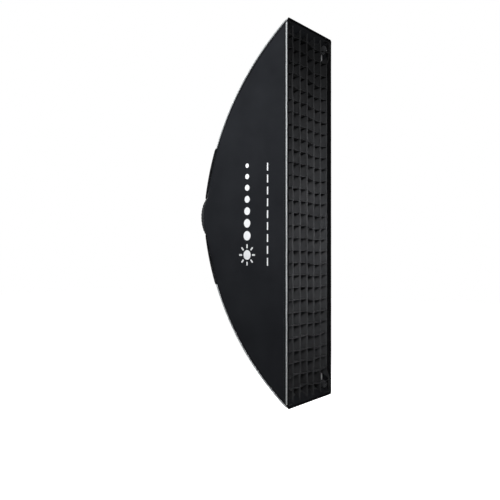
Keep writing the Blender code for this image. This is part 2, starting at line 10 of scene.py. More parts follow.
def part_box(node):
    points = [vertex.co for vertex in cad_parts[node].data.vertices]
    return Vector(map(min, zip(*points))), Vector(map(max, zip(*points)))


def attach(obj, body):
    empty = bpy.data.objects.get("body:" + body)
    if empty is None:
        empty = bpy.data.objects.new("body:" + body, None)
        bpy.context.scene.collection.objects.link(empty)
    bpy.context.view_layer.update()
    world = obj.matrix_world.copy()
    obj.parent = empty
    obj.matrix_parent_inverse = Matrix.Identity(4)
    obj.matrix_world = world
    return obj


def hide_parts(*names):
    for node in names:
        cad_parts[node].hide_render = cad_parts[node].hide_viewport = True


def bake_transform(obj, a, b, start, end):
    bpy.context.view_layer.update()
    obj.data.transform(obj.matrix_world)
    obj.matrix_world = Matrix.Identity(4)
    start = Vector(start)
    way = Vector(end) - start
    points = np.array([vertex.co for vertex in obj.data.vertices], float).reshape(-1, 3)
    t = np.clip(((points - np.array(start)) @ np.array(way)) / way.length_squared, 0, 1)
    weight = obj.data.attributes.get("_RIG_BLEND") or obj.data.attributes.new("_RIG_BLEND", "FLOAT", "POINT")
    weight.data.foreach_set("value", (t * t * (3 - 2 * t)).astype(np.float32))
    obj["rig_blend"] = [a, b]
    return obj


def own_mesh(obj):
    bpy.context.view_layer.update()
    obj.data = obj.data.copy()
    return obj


# A 30 x 120 cm strip softbox. Metres, +Z up its long side, the light leaves towards -Y and left is -X.
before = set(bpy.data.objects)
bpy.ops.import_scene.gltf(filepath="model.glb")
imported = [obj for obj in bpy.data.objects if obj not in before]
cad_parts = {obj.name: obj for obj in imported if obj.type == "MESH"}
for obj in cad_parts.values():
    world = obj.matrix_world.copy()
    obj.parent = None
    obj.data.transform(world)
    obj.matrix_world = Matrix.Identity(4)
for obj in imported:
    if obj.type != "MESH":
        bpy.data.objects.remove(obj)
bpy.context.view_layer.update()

# --- Sizes that the fabric shares with the CAD model ------------------------------------------------
MOUTH_W, MOUTH_H = 0.296, 1.196
FRONT_Y, REAR_Y, REAR_R = -0.376, -0.006, 0.0814
SEAM_SAG = 0.057  # how far a corner seam bows out of its chord
SEAM_SETBACK = 0.0032  # how far inside the seam the panels' edges lie
SIDE_SLACK, CAP_SLACK = 0.004, 0.011
GUARD_START, GUARD_END, GUARD_LAP = 0.006, 0.268, 0.003  # shares of the seam
PIPING_START, PIPING_END = 0.269, 0.984
CORNERS = {"top_left": (-1, 1), "top_right": (1, 1), "bottom_left": (-1, -1), "bottom_right": (1, -1)}

# --- Fabric -----------------------------------------------------------------------------------------
CLOTH_T, TAPE_T, WEBBING_T = 0.0011, 0.0005, 0.0009
HELD_START, HELD_SPAN = 0.01, 0.13  # shares of the seam over which the cloth turns from ring to rods
KEEPS_TO_ROD = 0.90  # share of a panel's half height from which the cloth moves as its rod does
SEAM_START = REAR_R * math.sqrt(0.5)
SEAM_RUN = Vector((MOUTH_W / 2 - SEAM_START, MOUTH_H / 2 - SEAM_START))
SEAM_CHORD = math.hypot(SEAM_RUN.length, FRONT_Y - REAR_Y)
SEAM_HALF_TURN = 2 * math.atan(2 * SEAM_SAG / SEAM_CHORD)

CAMERA_PLACE, CAMERA_AIM = (-2.137, -1.4912, -0.1147), (0.8462, 0.5329, 0.0)


def make_camera():
    """The photograph's viewpoint: level, from the front left."""
    data = bpy.data.cameras.new("camera")
    data.lens, data.sensor_width, data.shift_y = 53.63, 36.0, 0.0016
    camera = bpy.data.objects.new("camera", data)
    bpy.context.scene.collection.objects.link(camera)
    camera.location = CAMERA_PLACE
    camera.rotation_euler = Vector(CAMERA_AIM).to_track_quat("-Z", "Y").to_euler()
    bpy.context.scene.camera = camera


# --- Meshes -----------------------------------------------------------------------------------------
def smoothstep(x):
    x = min(max(x, 0.0), 1.0)
    return x * x * (3 - 2 * x)


def wobble(x, y, z, scale, seed=0.0):
    """Smooth noise from -1 to 1, the same on every run."""
    return noise.noise(Vector((x * scale + seed * 17.3, y * scale - seed * 5.1, z * scale + seed * 9.7)))


def circle(count):
    """Angle, cosine and sine at equal steps round a circle."""
    for k in range(count):
        a = 2 * math.pi * k / count
        yield a, math.cos(a), math.sin(a)


class Skin:
    """Points, faces, texture places and fold weights of one mesh, gathered before it is made."""

    def __init__(self):
        self.points, self.weights, self.uvs = [], [], []
        self.faces, self.looks = [], []

    def point(self, place, weight=0.0, uv=(0.0, 0.0)):
        self.points.append(tuple(place))
        self.weights.append(weight)
        self.uvs.append(uv)
        return len(self.points) - 1

    def face(self, corners, look=0):
        self.faces.append(tuple(corners))
        self.looks.append(look)

    def net(self, count, width, spot_at):
        """Rows of points. spot_at(i, k) gives the place, weight and texture place of row i's point k."""
        return [[self.point(*spot_at(i, k)) for k in range(width)] for i in range(count)]

    def strip(self, rows, look=0, closed=False, capped=False):
        """Faces between rows of points. Closed rows join their last point to their first."""
        for a, b in zip(rows, rows[1:]):
            count = len(a)
            for k in range(count if closed else count - 1):
                n = (k + 1) % count
                self.face((a[k], a[n], b[n], b[k]), look)
        if capped:
            self.face(rows[0])
            self.face(rows[-1][::-1])

    def made(self, name, looks, angle=50, outwards=False):
        """The mesh object, smooth up to an angle or flat at None. outwards is for a closed mesh."""
        mesh = bpy.data.meshes.new(name)
        mesh.from_pydata(self.points, [], self.faces)
        mesh.polygons.foreach_set("material_index", self.looks)
        fold = mesh.attributes.new("fold", "FLOAT", "POINT")
        fold.data.foreach_set("value", self.weights)
        layer = mesh.uv_layers.new(name="UVMap")
        corner = np.zeros(len(mesh.loops), np.int32)
        mesh.loops.foreach_get("vertex_index", corner)
        layer.data.foreach_set("uv", np.array(self.uvs, np.float32)[corner].ravel())
        for look in looks:
            mesh.materials.append(LOOKS[look])
        if angle is not None:
            mesh.shade_smooth()
            mesh.set_sharp_from_angle(angle=math.radians(angle))
            sharpen_rims(mesh)
        if outwards:
            face_outwards(mesh)
        made = bpy.data.objects.new(name, mesh)
        bpy.context.scene.collection.objects.link(made)
        return made


def sharpen_rims(mesh):
    """Keep the shading of an open edge apart from the rim that thickness gives it."""
    bm = bmesh.new()
    bm.from_mesh(mesh)
    for edge in bm.edges:
        if edge.is_boundary:
            edge.smooth = False
    bm.to_mesh(mesh)
    bm.free()


def face_outwards(mesh):
    """Turn a closed mesh's faces outwards."""
    bm = bmesh.new()
    bm.from_mesh(mesh)
    bmesh.ops.recalc_face_normals(bm, faces=bm.faces)
    bm.to_mesh(mesh)
    bm.free()


def thicken(made, thickness, offset=0.0, inner_look=0, rim_look=0):
    """Cloth thickness: half to each side at offset 0, and all of it inwards at -1."""
    skin = made.modifiers.new("thickness", "SOLIDIFY")
    skin.thickness, skin.offset = thickness, offset
    skin.material_offset, skin.material_offset_rim = inner_look, rim_look


def fold_with(made, corner):
    """The piece follows the ring at the ring and a corner's rod along its seam, by its own weights."""
    up = CORNERS[corner][1]
    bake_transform(made, "ring", f"rod_body_{corner}", start=(0, 0, 0), end=(0, 0, up * MOUTH_H / 2))
    attributes = made.data.attributes
    weights = np.zeros(len(made.data.vertices), np.float32)
    attributes["fold"].data.foreach_get("value", weights)
    attributes["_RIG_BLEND"].data.foreach_set("value", weights)
    attributes.remove(attributes["fold"])


CORD_R, CORD_END_SHARE = 0.0024, 0.55
THREAD_R = 0.00038
STITCH_SECTIONS = (  # place along a stitch, share of its thickness, lift
    (0.0, 0.35, -0.5), (0.2, 0.95, 0.35), (0.5, 1.0, 0.6), (0.8, 0.95, 0.35), (1.0, 0.35, -0.5),
)


def tube(skin, path, radius, weights, ups, sides=14):
    """A cord along a list of points, thinner at its ends. ups point away from the fabric."""
    last = len(path) - 1
    rows, run = [], 0.0
    for i, here in enumerate(path):
        along = (path[min(i + 1, last)] - path[max(i - 1, 0)]).normalized()
        side = along.cross(ups[i]).normalized()
        up = side.cross(along)
        r = radius * (CORD_END_SHARE if i in (0, last) else 1.0)
        run += (here - path[i - 1]).length if i else 0.0
        rows.append([
            skin.point(here + side * (r * c) + up * (r * s), weights[i], (r * a, run))
            for a, c, s in circle(sides)
        ])
    skin.strip(rows, closed=True, capped=True)


def turned(skin, profile, centre, axis, sides, ripple=None):
    """A closed profile of (radius, place along the axis) turned about an axis through centre."""
    axis = Vector(axis).normalized()
    first = axis.orthogonal().normalized()
    second = axis.cross(first)
    rows = []
    for a, c, s in circle(sides):
        out = first * c + second * s
        row = []
        for k, (r, along) in enumerate(profile):
            grown = r + (ripple(a, k) if ripple else 0.0)
            row.append(skin.point(Vector(centre) + out * grown + axis * along, 0.0, (a * r, along)))
        rows.append(row)
    rows.append(rows[0])
    skin.strip(rows, closed=True)


def stitches(skin, place_at, total, length=0.0034, pitch=0.0056):
    """Thread capsules along a line. place_at(distance) gives a place, its weight and the way out."""
    steps = int(total / pitch)
    for i in range(steps):
        start = (i + 0.2) * total / steps
        a, weight, out = place_at(start)
        b = place_at(start + length)[0]
        side = (b - a).normalized().cross(out).normalized()
        rows = []
        for share, fat, lift in STITCH_SECTIONS:
            middle = a.lerp(b, share) + out * (THREAD_R * lift)
            run = start + length * share
            rows.append([
                skin.point(middle + (side * c + out * s) * (THREAD_R * fat), weight, (run, THREAD_R * turn))
                for turn, c, s in circle(6)
            ])
        skin.strip(rows, closed=True, capped=True)


# --- Materials --------------------------------------------------------------------------------------
NYLON_PITCH = 0.0009  # of the weave's threads


class Look:
    """A Principled material with a small set of procedural layers."""

    def __init__(self, name, **sockets):
        self.made = bpy.data.materials.new(name)
        self.made.use_nodes = True
        self.tree = self.made.node_tree
        self.shader = self.tree.nodes["Principled BSDF"]
        for socket, value in sockets.items():
            self.shader.inputs[socket.replace("_", " ")].default_value = value
        self.place = self.node("ShaderNodeTexCoord").outputs
        self.last_bump = None

    def join(self, value, socket):
        """Give a socket a value, or another node's output."""
        if isinstance(value, bpy.types.NodeSocket):
            self.tree.links.new(value, socket)
        else:
            socket.default_value = value

    def node(self, kind, inputs=None, **settings):
        made = self.tree.nodes.new(kind)
        for name, value in settings.items():
            setattr(made, name, value)
        for name, value in (inputs or {}).items():
            self.join(value, made.inputs[name])
        return made

    def noise(self, scale, detail=3.0, stretch=(1, 1, 1)):
        moved = self.node("ShaderNodeMapping", {"Vector": self.place["Object"], "Scale": stretch})
        inputs = {"Vector": moved.outputs["Vector"], "Scale": scale, "Detail": detail, "Roughness": 0.55}
        return self.node("ShaderNodeTexNoise", inputs).outputs["Fac"]

    def threads(self, pitch, turn=0.0):
        """Over-and-under threads of a plain weave, from 0 in the gaps to 1 on the crowns."""
        moved = self.node("ShaderNodeMapping", {"Vector": self.place["UV"], "Rotation": (0, 0, turn)})
        inputs = {"Vector": moved.outputs["Vector"], "Scale": 1 / (pitch * 20), "Distortion": 0.0}
        warp, weft = (
            self.node("ShaderNodeTexWave", inputs, wave_type="BANDS", bands_direction=direction)
            for direction in ("X", "Y")
        )
        return self.sum("MULTIPLY", warp.outputs["Fac"], weft.outputs["Fac"])

    def sum(self, operation, a, b):
        made = self.node("ShaderNodeMath", operation=operation)
        self.join(a, made.inputs[0])
        self.join(b, made.inputs[1])
        return made.outputs[0]

    def share(self, value, low, high, most=1.0):
        """0 where a value is up to low, and most from high."""
        inputs = {"Value": value, "From Min": low, "From Max": high, "To Max": most}
        return self.node("ShaderNodeMapRange", inputs).outputs["Result"]

    def colour(self, low, high, scale, start=0.3, end=0.7):
        """Base colour that wanders between two tones."""
        made = self.node("ShaderNodeValToRGB", {"Fac": self.noise(scale, 4.0)})
        for element, place, tone in zip(made.color_ramp.elements, (start, end), (low, high)):
            element.position, element.color = place, (*tone, 1.0)
        self.join(made.outputs["Color"], self.shader.inputs["Base Color"])
        return made.outputs["Color"]

    def over(self, below, above, amount):
        """One colour laid over another by a factor, and joined to the shader."""
        made = self.node("ShaderNodeMix", data_type="RGBA")
        self.join(amount, made.inputs[0])
        for socket, value in ((made.inputs[6], below), (made.inputs[7], above)):
            self.join((*value, 1.0) if isinstance(value, tuple) else value, socket)
        self.join(made.outputs[2], self.shader.inputs["Base Color"])

    def rough(self, scale, low, high, detail=3.0):
        """Roughness that wanders between two values."""
        inputs = {"Value": self.noise(scale, detail), "To Min": low, "To Max": high}
        made = self.node("ShaderNodeMapRange", inputs)
        self.join(made.outputs["Result"], self.shader.inputs["Roughness"])

    def bump(self, height, distance, strength):
        made = self.node("ShaderNodeBump", {"Height": height, "Distance": distance, "Strength": strength})
        if self.last_bump:
            self.join(self.last_bump.outputs["Normal"], made.inputs["Normal"])
        self.join(made.outputs["Normal"], self.shader.inputs["Normal"])
        self.last_bump = made


def nylon(name, low, high, sheen, gloss):
    look = Look(name, Sheen_Weight=sheen, Sheen_Roughness=0.45, Specular_IOR_Level=gloss)
    look.colour(low, high, 7.0, 0.32, 0.68)
    look.rough(30.0, 0.62, 0.84)
    look.bump(look.threads(NYLON_PITCH), 0.00012, 0.55)
    look.bump(look.noise(55.0, 5.0), 0.0006, 0.18)
    return look.made


def shaded_grid_fabric(name, low, high):
    """Nylon painted darker towards the grid's top and bottom than half way up: painted shade where the
    grid's ends get less light.
    """
    look = Look(name, Sheen_Weight=0.01, Sheen_Roughness=0.45, Specular_IOR_Level=0.08)
    base = look.colour(low, high, 9.0, 0.32, 0.68)
    # Painted shade: the base colour darkens with distance from just below the grid's middle, towards its top
    # and bottom.
    height = look.node("ShaderNodeSeparateXYZ", {"Vector": look.place["Object"]}).outputs["Z"]
    shade_from_middle = look.sum("POWER", look.sum("ABSOLUTE", look.sum("ADD", height, 0.04), 0.0), 1.6)
    look.over(base, tuple(0.24 * c for c in low), look.share(shade_from_middle, 0.0, 0.40, 0.95))
    look.rough(30.0, 0.66, 0.88)
    look.bump(look.threads(NYLON_PITCH), 0.00012, 0.55)
    look.bump(look.noise(55.0, 5.0), 0.0006, 0.25)
    return look.made


def lining():
    look = Look("silver_lining", Metallic=0.75, Specular_IOR_Level=0.4)
    look.colour((0.34, 0.345, 0.355), (0.50, 0.505, 0.515), 22.0)
    look.rough(60.0, 0.36, 0.54)
    look.bump(look.threads(0.0016), 0.0002, 0.5)
    look.bump(look.noise(90.0, 5.0), 0.0009, 0.45)
    return look.made


def webbing(name, low, high, pitch, fuzz, gloss=0.2):
    look = Look(name, Sheen_Weight=fuzz, Sheen_Roughness=0.6, Specular_IOR_Level=gloss)
    look.colour(low, high, 60.0)
    look.rough(90.0, 0.78, 0.96)
    look.bump(look.threads(pitch, turn=math.radians(38)), 0.0004, 0.8)
    look.bump(look.noise(700.0, 2.0), 0.0003, 0.5)
    return look.made


def grey_cord():
    look = Look("grey_piping", Roughness=0.62, Sheen_Weight=0.05, Specular_IOR_Level=0.3)
    weave = look.threads(0.0013, turn=math.radians(45))
    base = look.colour((0.215, 0.224, 0.229), (0.270, 0.280, 0.286), 26.0)
    # Painted shade: the colour is darker in the gaps of the weave than on the threads' crowns.
    look.over((0.14, 0.15, 0.155), base, look.sum("ADD", look.sum("MULTIPLY", weave, 0.45), 0.58))
    look.bump(weave, 0.0005, 0.7)
    return look.made


def white_cloth():
    """Diffusion cloth, which lets some light through."""
    look = Look(
        "diffusion_cloth", Roughness=0.85, Sheen_Weight=0.2, Specular_IOR_Level=0.2,
        Subsurface_Weight=0.3, Subsurface_Radius=(0.004, 0.004, 0.004),
    )
    tint = (0.88, 0.88, 0.865)
    look.colour(tuple(0.94 * c for c in tint), tint, 9.0)
    look.bump(look.threads(0.0011), 0.00018, 0.7)
    look.bump(look.noise(40.0, 4.0), 0.0012, 0.25)
    return look.made


def anodised():
    """Black anodised aluminium: fine turning marks, and bright wear in small specks."""
    look = Look("black_anodised", Metallic=0.85)
    base = look.colour((0.040, 0.040, 0.044), (0.070, 0.070, 0.076), 18.0)
    look.over(base, (0.22, 0.22, 0.23), look.share(look.noise(160.0, 6.0), 0.70, 0.76))
    look.rough(45.0, 0.28, 0.42)
    look.bump(look.noise(420.0, 2.0, (1, 8, 1)), 0.00012, 0.5)
    return look.made


def moulded(name, low, high, roughness=(0.42, 0.58), grain=900.0):
    look = Look(name, Specular_IOR_Level=0.45)
    look.colour(low, high, 25.0)
    look.rough(70.0, *roughness)
    look.bump(look.noise(grain, 2.0), 0.00015, 0.6)
    return look.made


def steel():
    look = Look("spring_steel", Metallic=1.0)
    look.colour((0.44, 0.45, 0.47), (0.62, 0.63, 0.65), 35.0)
    look.rough(120.0, 0.20, 0.40, detail=4.0)
    look.bump(look.noise(600.0, 3.0, (1, 1, 0.08)), 0.00008, 0.5)
    return look.made


FLOOR_GLOW = 1.0  # keeps the pale floor as white as the surround


def pale_floor():
    look = Look("pale_floor", Roughness=0.8, Specular_IOR_Level=0.2, Emission_Color=(1.0, 1.0, 1.0, 1.0))
    look.colour((0.30, 0.30, 0.30), (0.33, 0.33, 0.33), 0.8)
    seen = look.node("ShaderNodeLightPath").outputs["Is Camera Ray"]
    look.join(look.sum("MULTIPLY", seen, FLOOR_GLOW), look.shader.inputs["Emission Strength"])
    return look.made


LOOKS = {
    "nylon": nylon("black_nylon", (0.0072, 0.0078, 0.0092), (0.0098, 0.0106, 0.0123), 0.004, 0.012),
    "binding": nylon("black_binding", (0.003, 0.0032, 0.004), (0.006, 0.0064, 0.0075), 0.0, 0.05),
    "print": nylon("white_print", (0.42, 0.43, 0.44), (0.50, 0.51, 0.52), 0.0, 0.1),
    "lining": lining(),
    "cord": grey_cord(),
    "thread": webbing("black_thread", (0.010, 0.0105, 0.012), (0.020, 0.021, 0.023), 0.0006, 0.02),
    "stitch": webbing("pale_thread", (0.10, 0.10, 0.105), (0.15, 0.15, 0.155), 0.0006, 0.02),
    "hem": webbing("black_hem", (0.0014, 0.0014, 0.0016), (0.003, 0.003, 0.0034), 0.0018, 0.0, 0.02),
    "hem_inside": webbing(
        "black_loop_tape", (0.0022, 0.0022, 0.0024), (0.004, 0.004, 0.0044), 0.0018, 0.0, 0.02,
    ),
    "guard": webbing("black_webbing", (0.008, 0.0085, 0.0095), (0.015, 0.0155, 0.017), 0.0022, 0.03),
    "elastic": webbing("black_elastic", (0.006, 0.006, 0.007), (0.012, 0.012, 0.013), 0.0024, 0.03),
    "white_hem": webbing("white_hem", (0.70, 0.70, 0.685), (0.80, 0.80, 0.785), 0.0012, 0.1),
    "cell": shaded_grid_fabric("grid_cloth", (0.036, 0.037, 0.0395), (0.052, 0.053, 0.056)),
    "cell_edge": shaded_grid_fabric("grid_binding", (0.040, 0.041, 0.0435), (0.056, 0.057, 0.060)),
    "diffusion": white_cloth(),
    "metal": anodised(),
    "steel": steel(),
    "plastic": moulded("black_plastic", (0.020, 0.020, 0.022), (0.036, 0.036, 0.039)),
    "rubber": moulded("black_rubber", (0.010, 0.010, 0.010), (0.022, 0.022, 0.022), (0.75, 0.92), 500.0),
    "washer": moulded("bearing_plastic", (0.72, 0.72, 0.69), (0.84, 0.84, 0.81), (0.34, 0.5), 300.0),
    "button": moulded("red_plastic", (0.36, 0.012, 0.012), (0.50, 0.028, 0.026), (0.34, 0.48), 700.0),
    "floor": pale_floor(),
}


# --- Shape of the canopy ----------------------------------------------------------------------------
def arc_point(start, end, half_turn, t):
    """A point on the arc from start to end, which turns by half_turn each way off its chord."""
    start, end = Vector(start), Vector(end)
    chord = end - start
    outward = Vector((-chord.y, chord.x)).normalized()
    radius = chord.length / (2 * math.sin(half_turn))
    centre = (start + end) / 2 - outward * radius * math.cos(half_turn)
    turn = half_turn * (2 * t - 1)
    return centre + radius * (outward * math.cos(turn) + chord.normalized() * math.sin(turn))


def seam(t):
    """Half width, y and half height of the canopy's corner, from the ring at 0 to the mouth at 1."""
    out, y = arc_point((0, REAR_Y), (SEAM_RUN.length, FRONT_Y), SEAM_HALF_TURN, t)
    share = out / SEAM_RUN.length
    return SEAM_START + SEAM_RUN.x * share, y, SEAM_START + SEAM_RUN.y * share


def seam_normal(t):
    """Unit vector out of the canopy at a seam, for the corner at +X and +Z."""
    step = 0.001
    along = (Vector(seam(t + step)) - Vector(seam(t - step))).normalized()
    side = Vector((SEAM_RUN.y, 0, -SEAM_RUN.x)).normalized()
    return side.cross(along).normalized() * -1


SEAM_LENGTH = sum((Vector(seam((i + 1) / 200)) - Vector(seam(i / 200))).length for i in range(200))


def t_at(y):
    """The seam's parameter where it passes a place along the axis."""
    low, high = 0.0, 1.0
    for _ in range(30):
        middle = (low + high) / 2
        low, high = (middle, high) if seam(middle)[1] > y else (low, middle)
    return low


def bulge(t, slack):
    """How far a panel stands out between its seams: round at the ring, drawn in by slack half way."""
    return REAR_R * (1 - math.sqrt(0.5)) * (1 - t) ** 4 - slack * math.sin(math.pi * t)


def pucker(run, inset):
    """Small gathers beside a sewn edge: they die away 25 mm into the cloth."""
    depth = 0.00075 * math.exp(-inset / 0.013) * (1 - math.exp(-inset / 0.003))
    return depth * (math.sin(run * 290) + 0.6 * math.sin(run * 171 + 1.3))


def panel_edge(t):
    """The edge of a side panel, for the corner at +X and +Z."""
    return Vector(seam(t)) - seam_normal(t) * SEAM_SETBACK


def side_place(side, t, v):
    """A point of a side panel: v is from -1 at the lower seam to 1 at the upper one."""
    half_w, y, _ = seam(t)
    edge = panel_edge(t)
    stand = bulge(t, SIDE_SLACK) * (1 - v * v)
    z = edge.z * v
    soft = 0.0016 * wobble(y, z, side, 5.0, 1.0) * (1 - v * v) * math.sin(math.pi * min(t, 1.0))
    stand += pucker(t * SEAM_LENGTH, edge.z * (1 - abs(v))) + soft
    return Vector((side * (half_w + stand), y + (edge.y - y) * v * v, z))


def cap_place(up, t, v):
    """A point of the top or bottom panel: v is from -1 at the left seam to 1 at the right one."""
    half_w, y, half_h = seam(t)
    stand = bulge(t, CAP_SLACK) * (1 - v * v)
    x = (half_w - SEAM_SETBACK) * v
    soft = 0.0014 * wobble(x, y, up, 9.0, 2.0) * (1 - v * v) * math.sin(math.pi * min(t, 1.0))
    stand += pucker(t * SEAM_LENGTH, half_w * (1 - abs(v))) + soft
    return Vector((x, y, up * (half_h + stand)))


def held(t):
    """0 at the ring, where the cloth is fastened, and 1 from where the rods carry it."""
    return smoothstep((t - HELD_START) / HELD_SPAN)


def side_weight(t, v):
    return held(t) * smoothstep(abs(v) / KEEPS_TO_ROD)


# --- Canopy -----------------------------------------------------------------------------------------
LOCK_NOTCH_HALF, LOCK_NOTCH_Y = 0.0135, -0.030
T_STEPS, V_STEPS, CAP_STEPS = 84, 44, 32
PANEL_LOOKS = ("nylon", "lining", "binding", "nylon", "binding")
LINING_ENDS = 0.94  # share of the seam where the silver lining gives way to black, inside the mouth


def panel_cloth(name, steps, spot_at, flipped):
    """The faces of a panel. Its inside is silver, and black where the grid goes in."""
    skin = Skin()
    rows = skin.net(T_STEPS + 1, steps + 1, spot_at)
    if flipped:
        rows = [row[::-1] for row in rows]
    change = round(LINING_ENDS * T_STEPS)
    skin.strip(rows[:change + 1])
    skin.strip(rows[change:], look=3)
    return skin.made(name, PANEL_LOOKS)


def side_panel(corner):
    """The upper or lower half of a side panel. Both halves fold with their own rods."""
    side, up = CORNERS[corner]

    def spot_at(i, k):
        t, v = i / T_STEPS, up * k / V_STEPS
        place = side_place(side, t, v)
        return place, side_weight(t, v), (t * SEAM_LENGTH, place.z)

    made = panel_cloth(f"side_cloth_{corner}", V_STEPS, spot_at, side * up < 0)
    if side > 0:
        cut_notch(made, up)
    thicken(made, CLOTH_T, -1.0, inner_look=1, rim_look=2)
    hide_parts("side_panel_left" if side < 0 else "side_panel_right")
    return made


def cut_notch(made, up):
    """The opening beside the ring that the lock knob stands in."""
    bm = bmesh.new()
    bm.from_mesh(made.data)
    planes = (((0, 0, up * LOCK_NOTCH_HALF), (0, 0, 1)), ((0, LOCK_NOTCH_Y, 0), (0, 1, 0)))
    for spot, across in planes:
        everything = bm.verts[:] + bm.edges[:] + bm.faces[:]
        bmesh.ops.bisect_plane(bm, geom=everything, plane_co=spot, plane_no=across)
    inside = []
    for face in bm.faces:
        middle = face.calc_center_median()
        if abs(middle.z) < LOCK_NOTCH_HALF and middle.y > LOCK_NOTCH_Y:
            inside.append(face)
    bmesh.ops.delete(bm, geom=inside, context="FACES")
    bm.to_mesh(made.data)
    bm.free()


def cap_panel(word, up):
    """The top or bottom panel, in one piece."""
    def spot_at(i, k):
        t, v = i / T_STEPS, 2 * k / CAP_STEPS - 1
        place = cap_place(up, t, v)
        return place, held(t), (place.x, t * SEAM_LENGTH)

    made = panel_cloth(f"{word}_cloth", CAP_STEPS, spot_at, up > 0)
    thicken(made, CLOTH_T, -1.0, inner_look=1, rim_look=2)
    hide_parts(f"{word}_panel")
    return made


def mirrored(corner, spot):
    """A place or direction at the corner at +X and +Z, moved to another corner."""
    side, up = CORNERS[corner]
    return Vector((side * spot.x, spot.y, up * spot.z))


def seam_place(corner, t, stand):
    return mirrored(corner, Vector(seam(t)) + seam_normal(t) * stand)


def seam_out(corner, t):
    return mirrored(corner, seam_normal(t))


CORD_STEPS, CORD_STAND = 120, 0.0004
GUARD_STEPS, GUARD_SIDES, GUARD_STAND = 60, 18, 0.0006
GUARD_WIDE, GUARD_TALL, GUARD_BELOW, GUARD_SQUARE = 0.0062, 0.0030, 0.0012, 0.8


def seam_cord(corner):
    """Grey piping along a seam."""
    skin = Skin()
    spots = [PIPING_START + (PIPING_END - PIPING_START) * i / CORD_STEPS for i in range(CORD_STEPS + 1)]
    path = [seam_place(corner, t, CORD_STAND) for t in spots]
    tube(skin, path, CORD_R, [held(t) for t in spots], [seam_out(corner, t) for t in spots])
    cord = skin.made(f"seam_cord_{corner}", ["cord"], outwards=True)
    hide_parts(f"seam_piping_{corner}")
    return cord


def seam_guard(corner):
    """Black ribbed webbing that takes over from the piping near the ring."""
    skin = Skin()
    rows = []
    for i in range(GUARD_STEPS + 1):
        t = GUARD_START + (GUARD_END + GUARD_LAP - GUARD_START) * i / GUARD_STEPS
        middle, out = seam_place(corner, t, GUARD_STAND), seam_out(corner, t)
        along = (seam_place(corner, t + 0.002, 0) - seam_place(corner, t - 0.002, 0)).normalized()
        across = along.cross(out)
        wide = GUARD_WIDE + 0.0003 * math.sin(i * 1.7)
        tall = GUARD_TALL * (0.35 + 0.65 * smoothstep(min(i, GUARD_STEPS - i) / 2.5))
        row = []
        for a, c, s in circle(GUARD_SIDES):
            rib = 0.0002 * math.cos(a * 9)
            flat = math.copysign(abs(c) ** GUARD_SQUARE, c) * wide
            high = math.copysign(abs(s) ** GUARD_SQUARE, s) * (tall if s > 0 else GUARD_BELOW)
            place = middle + across * flat + out * (high + rib)
            row.append(skin.point(place, held(t), (flat, t * SEAM_LENGTH)))
        rows.append(row)
    skin.strip(rows, closed=True, capped=True)
    guard = skin.made(f"seam_webbing_{corner}", ["guard"], outwards=True)
    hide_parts(f"seam_guard_{corner}")
    return guard


def inset_share(t, inset, across_x):
    """The panel coordinate that lies this far in from the seam."""
    half_w, _, half_h = seam(t)
    return 1 - inset / ((half_w if across_x else half_h) - SEAM_SETBACK)


def sheet_out(place_of, t, v):
    """Unit normal of a sheet given as a function of t and v."""
    step = 0.004
    along = place_of(t + step, v) - place_of(t - step, v)
    across = place_of(t, v + step) - place_of(t, v - step)
    return along.cross(across).normalized()


TAPE_START, TAPE_SPAN = 0.02, 0.975
TAPE_PROFILE = ((0.0, 0.0005), (0.0012, 0.0010), (0.0052, 0.0009), (0.0060, 0.0001))  # inset, lift
STITCH_START, STITCH_END, STITCH_INSET, STITCH_LIFT = 0.03, 0.985, 0.0034, 0.0011
INNER_TAPE, INNER_LIFT = 0.010, 0.0018  # reach of the tape inside a seam, and how far it lies off the cloth
INNER_DEPTH = 0.0036  # how far the inside tape's middle lies behind the panels' edges
INNER_SHARES = ((1, 0, 0), (0.5, 0.5, 0), (0.12, 0.76, 0.12), (0, 0.5, 0.5), (0, 0, 1))


def tape_t(i):
    return TAPE_START + TAPE_SPAN * i / T_STEPS


def beside_seam(corner, across_x, t, inset, lift):
    """A place over a panel beside its seam, its weight and the way out. across_x: top and bottom."""
    side, up = CORNERS[corner]
    place_of = partial(cap_place, up) if across_x else partial(side_place, side)
    v = (side if across_x else up) * inset_share(t, inset, across_x)
    out = sheet_out(place_of, t, v)
    if (up * out.z if across_x else side * out.x) <= 0:
        out = -out
    weight = held(t) if across_x else side_weight(t, v)
    return place_of(t, v) + out * lift, weight, out


def bindings(corner):
    """Black tape beside each seam on both panels, with a row of stitches, and tape over its inside."""
    side, up = CORNERS[corner]
    skin, thread = Skin(), Skin()
    stitched = SEAM_LENGTH * (STITCH_END - STITCH_START)
    for across_x in (False, True):
        beside = partial(beside_seam, corner, across_x)

        def spot_at(i, k, beside=beside):
            t, (inset, lift) = tape_t(i), TAPE_PROFILE[k]
            place, weight, _ = beside(t, inset, lift)
            return place, weight, (inset, t * SEAM_LENGTH)

        def on_tape(distance, beside=beside):
            t = STITCH_START + (STITCH_END - STITCH_START) * distance / stitched
            return beside(t, STITCH_INSET, STITCH_LIFT)

        rows = skin.net(T_STEPS + 1, len(TAPE_PROFILE), spot_at)
        if (side * up > 0) == across_x:
            rows.reverse()
        skin.strip(rows)
        stitches(thread, on_tape, stitched)
    lap = inner_tape(corner)
    tape = skin.made(f"seam_tape_{corner}", ["binding"])
    thicken(tape, TAPE_T, -1.0)
    sewn = thread.made(f"seam_stitches_{corner}", ["thread"])
    return [tape, sewn, lap]


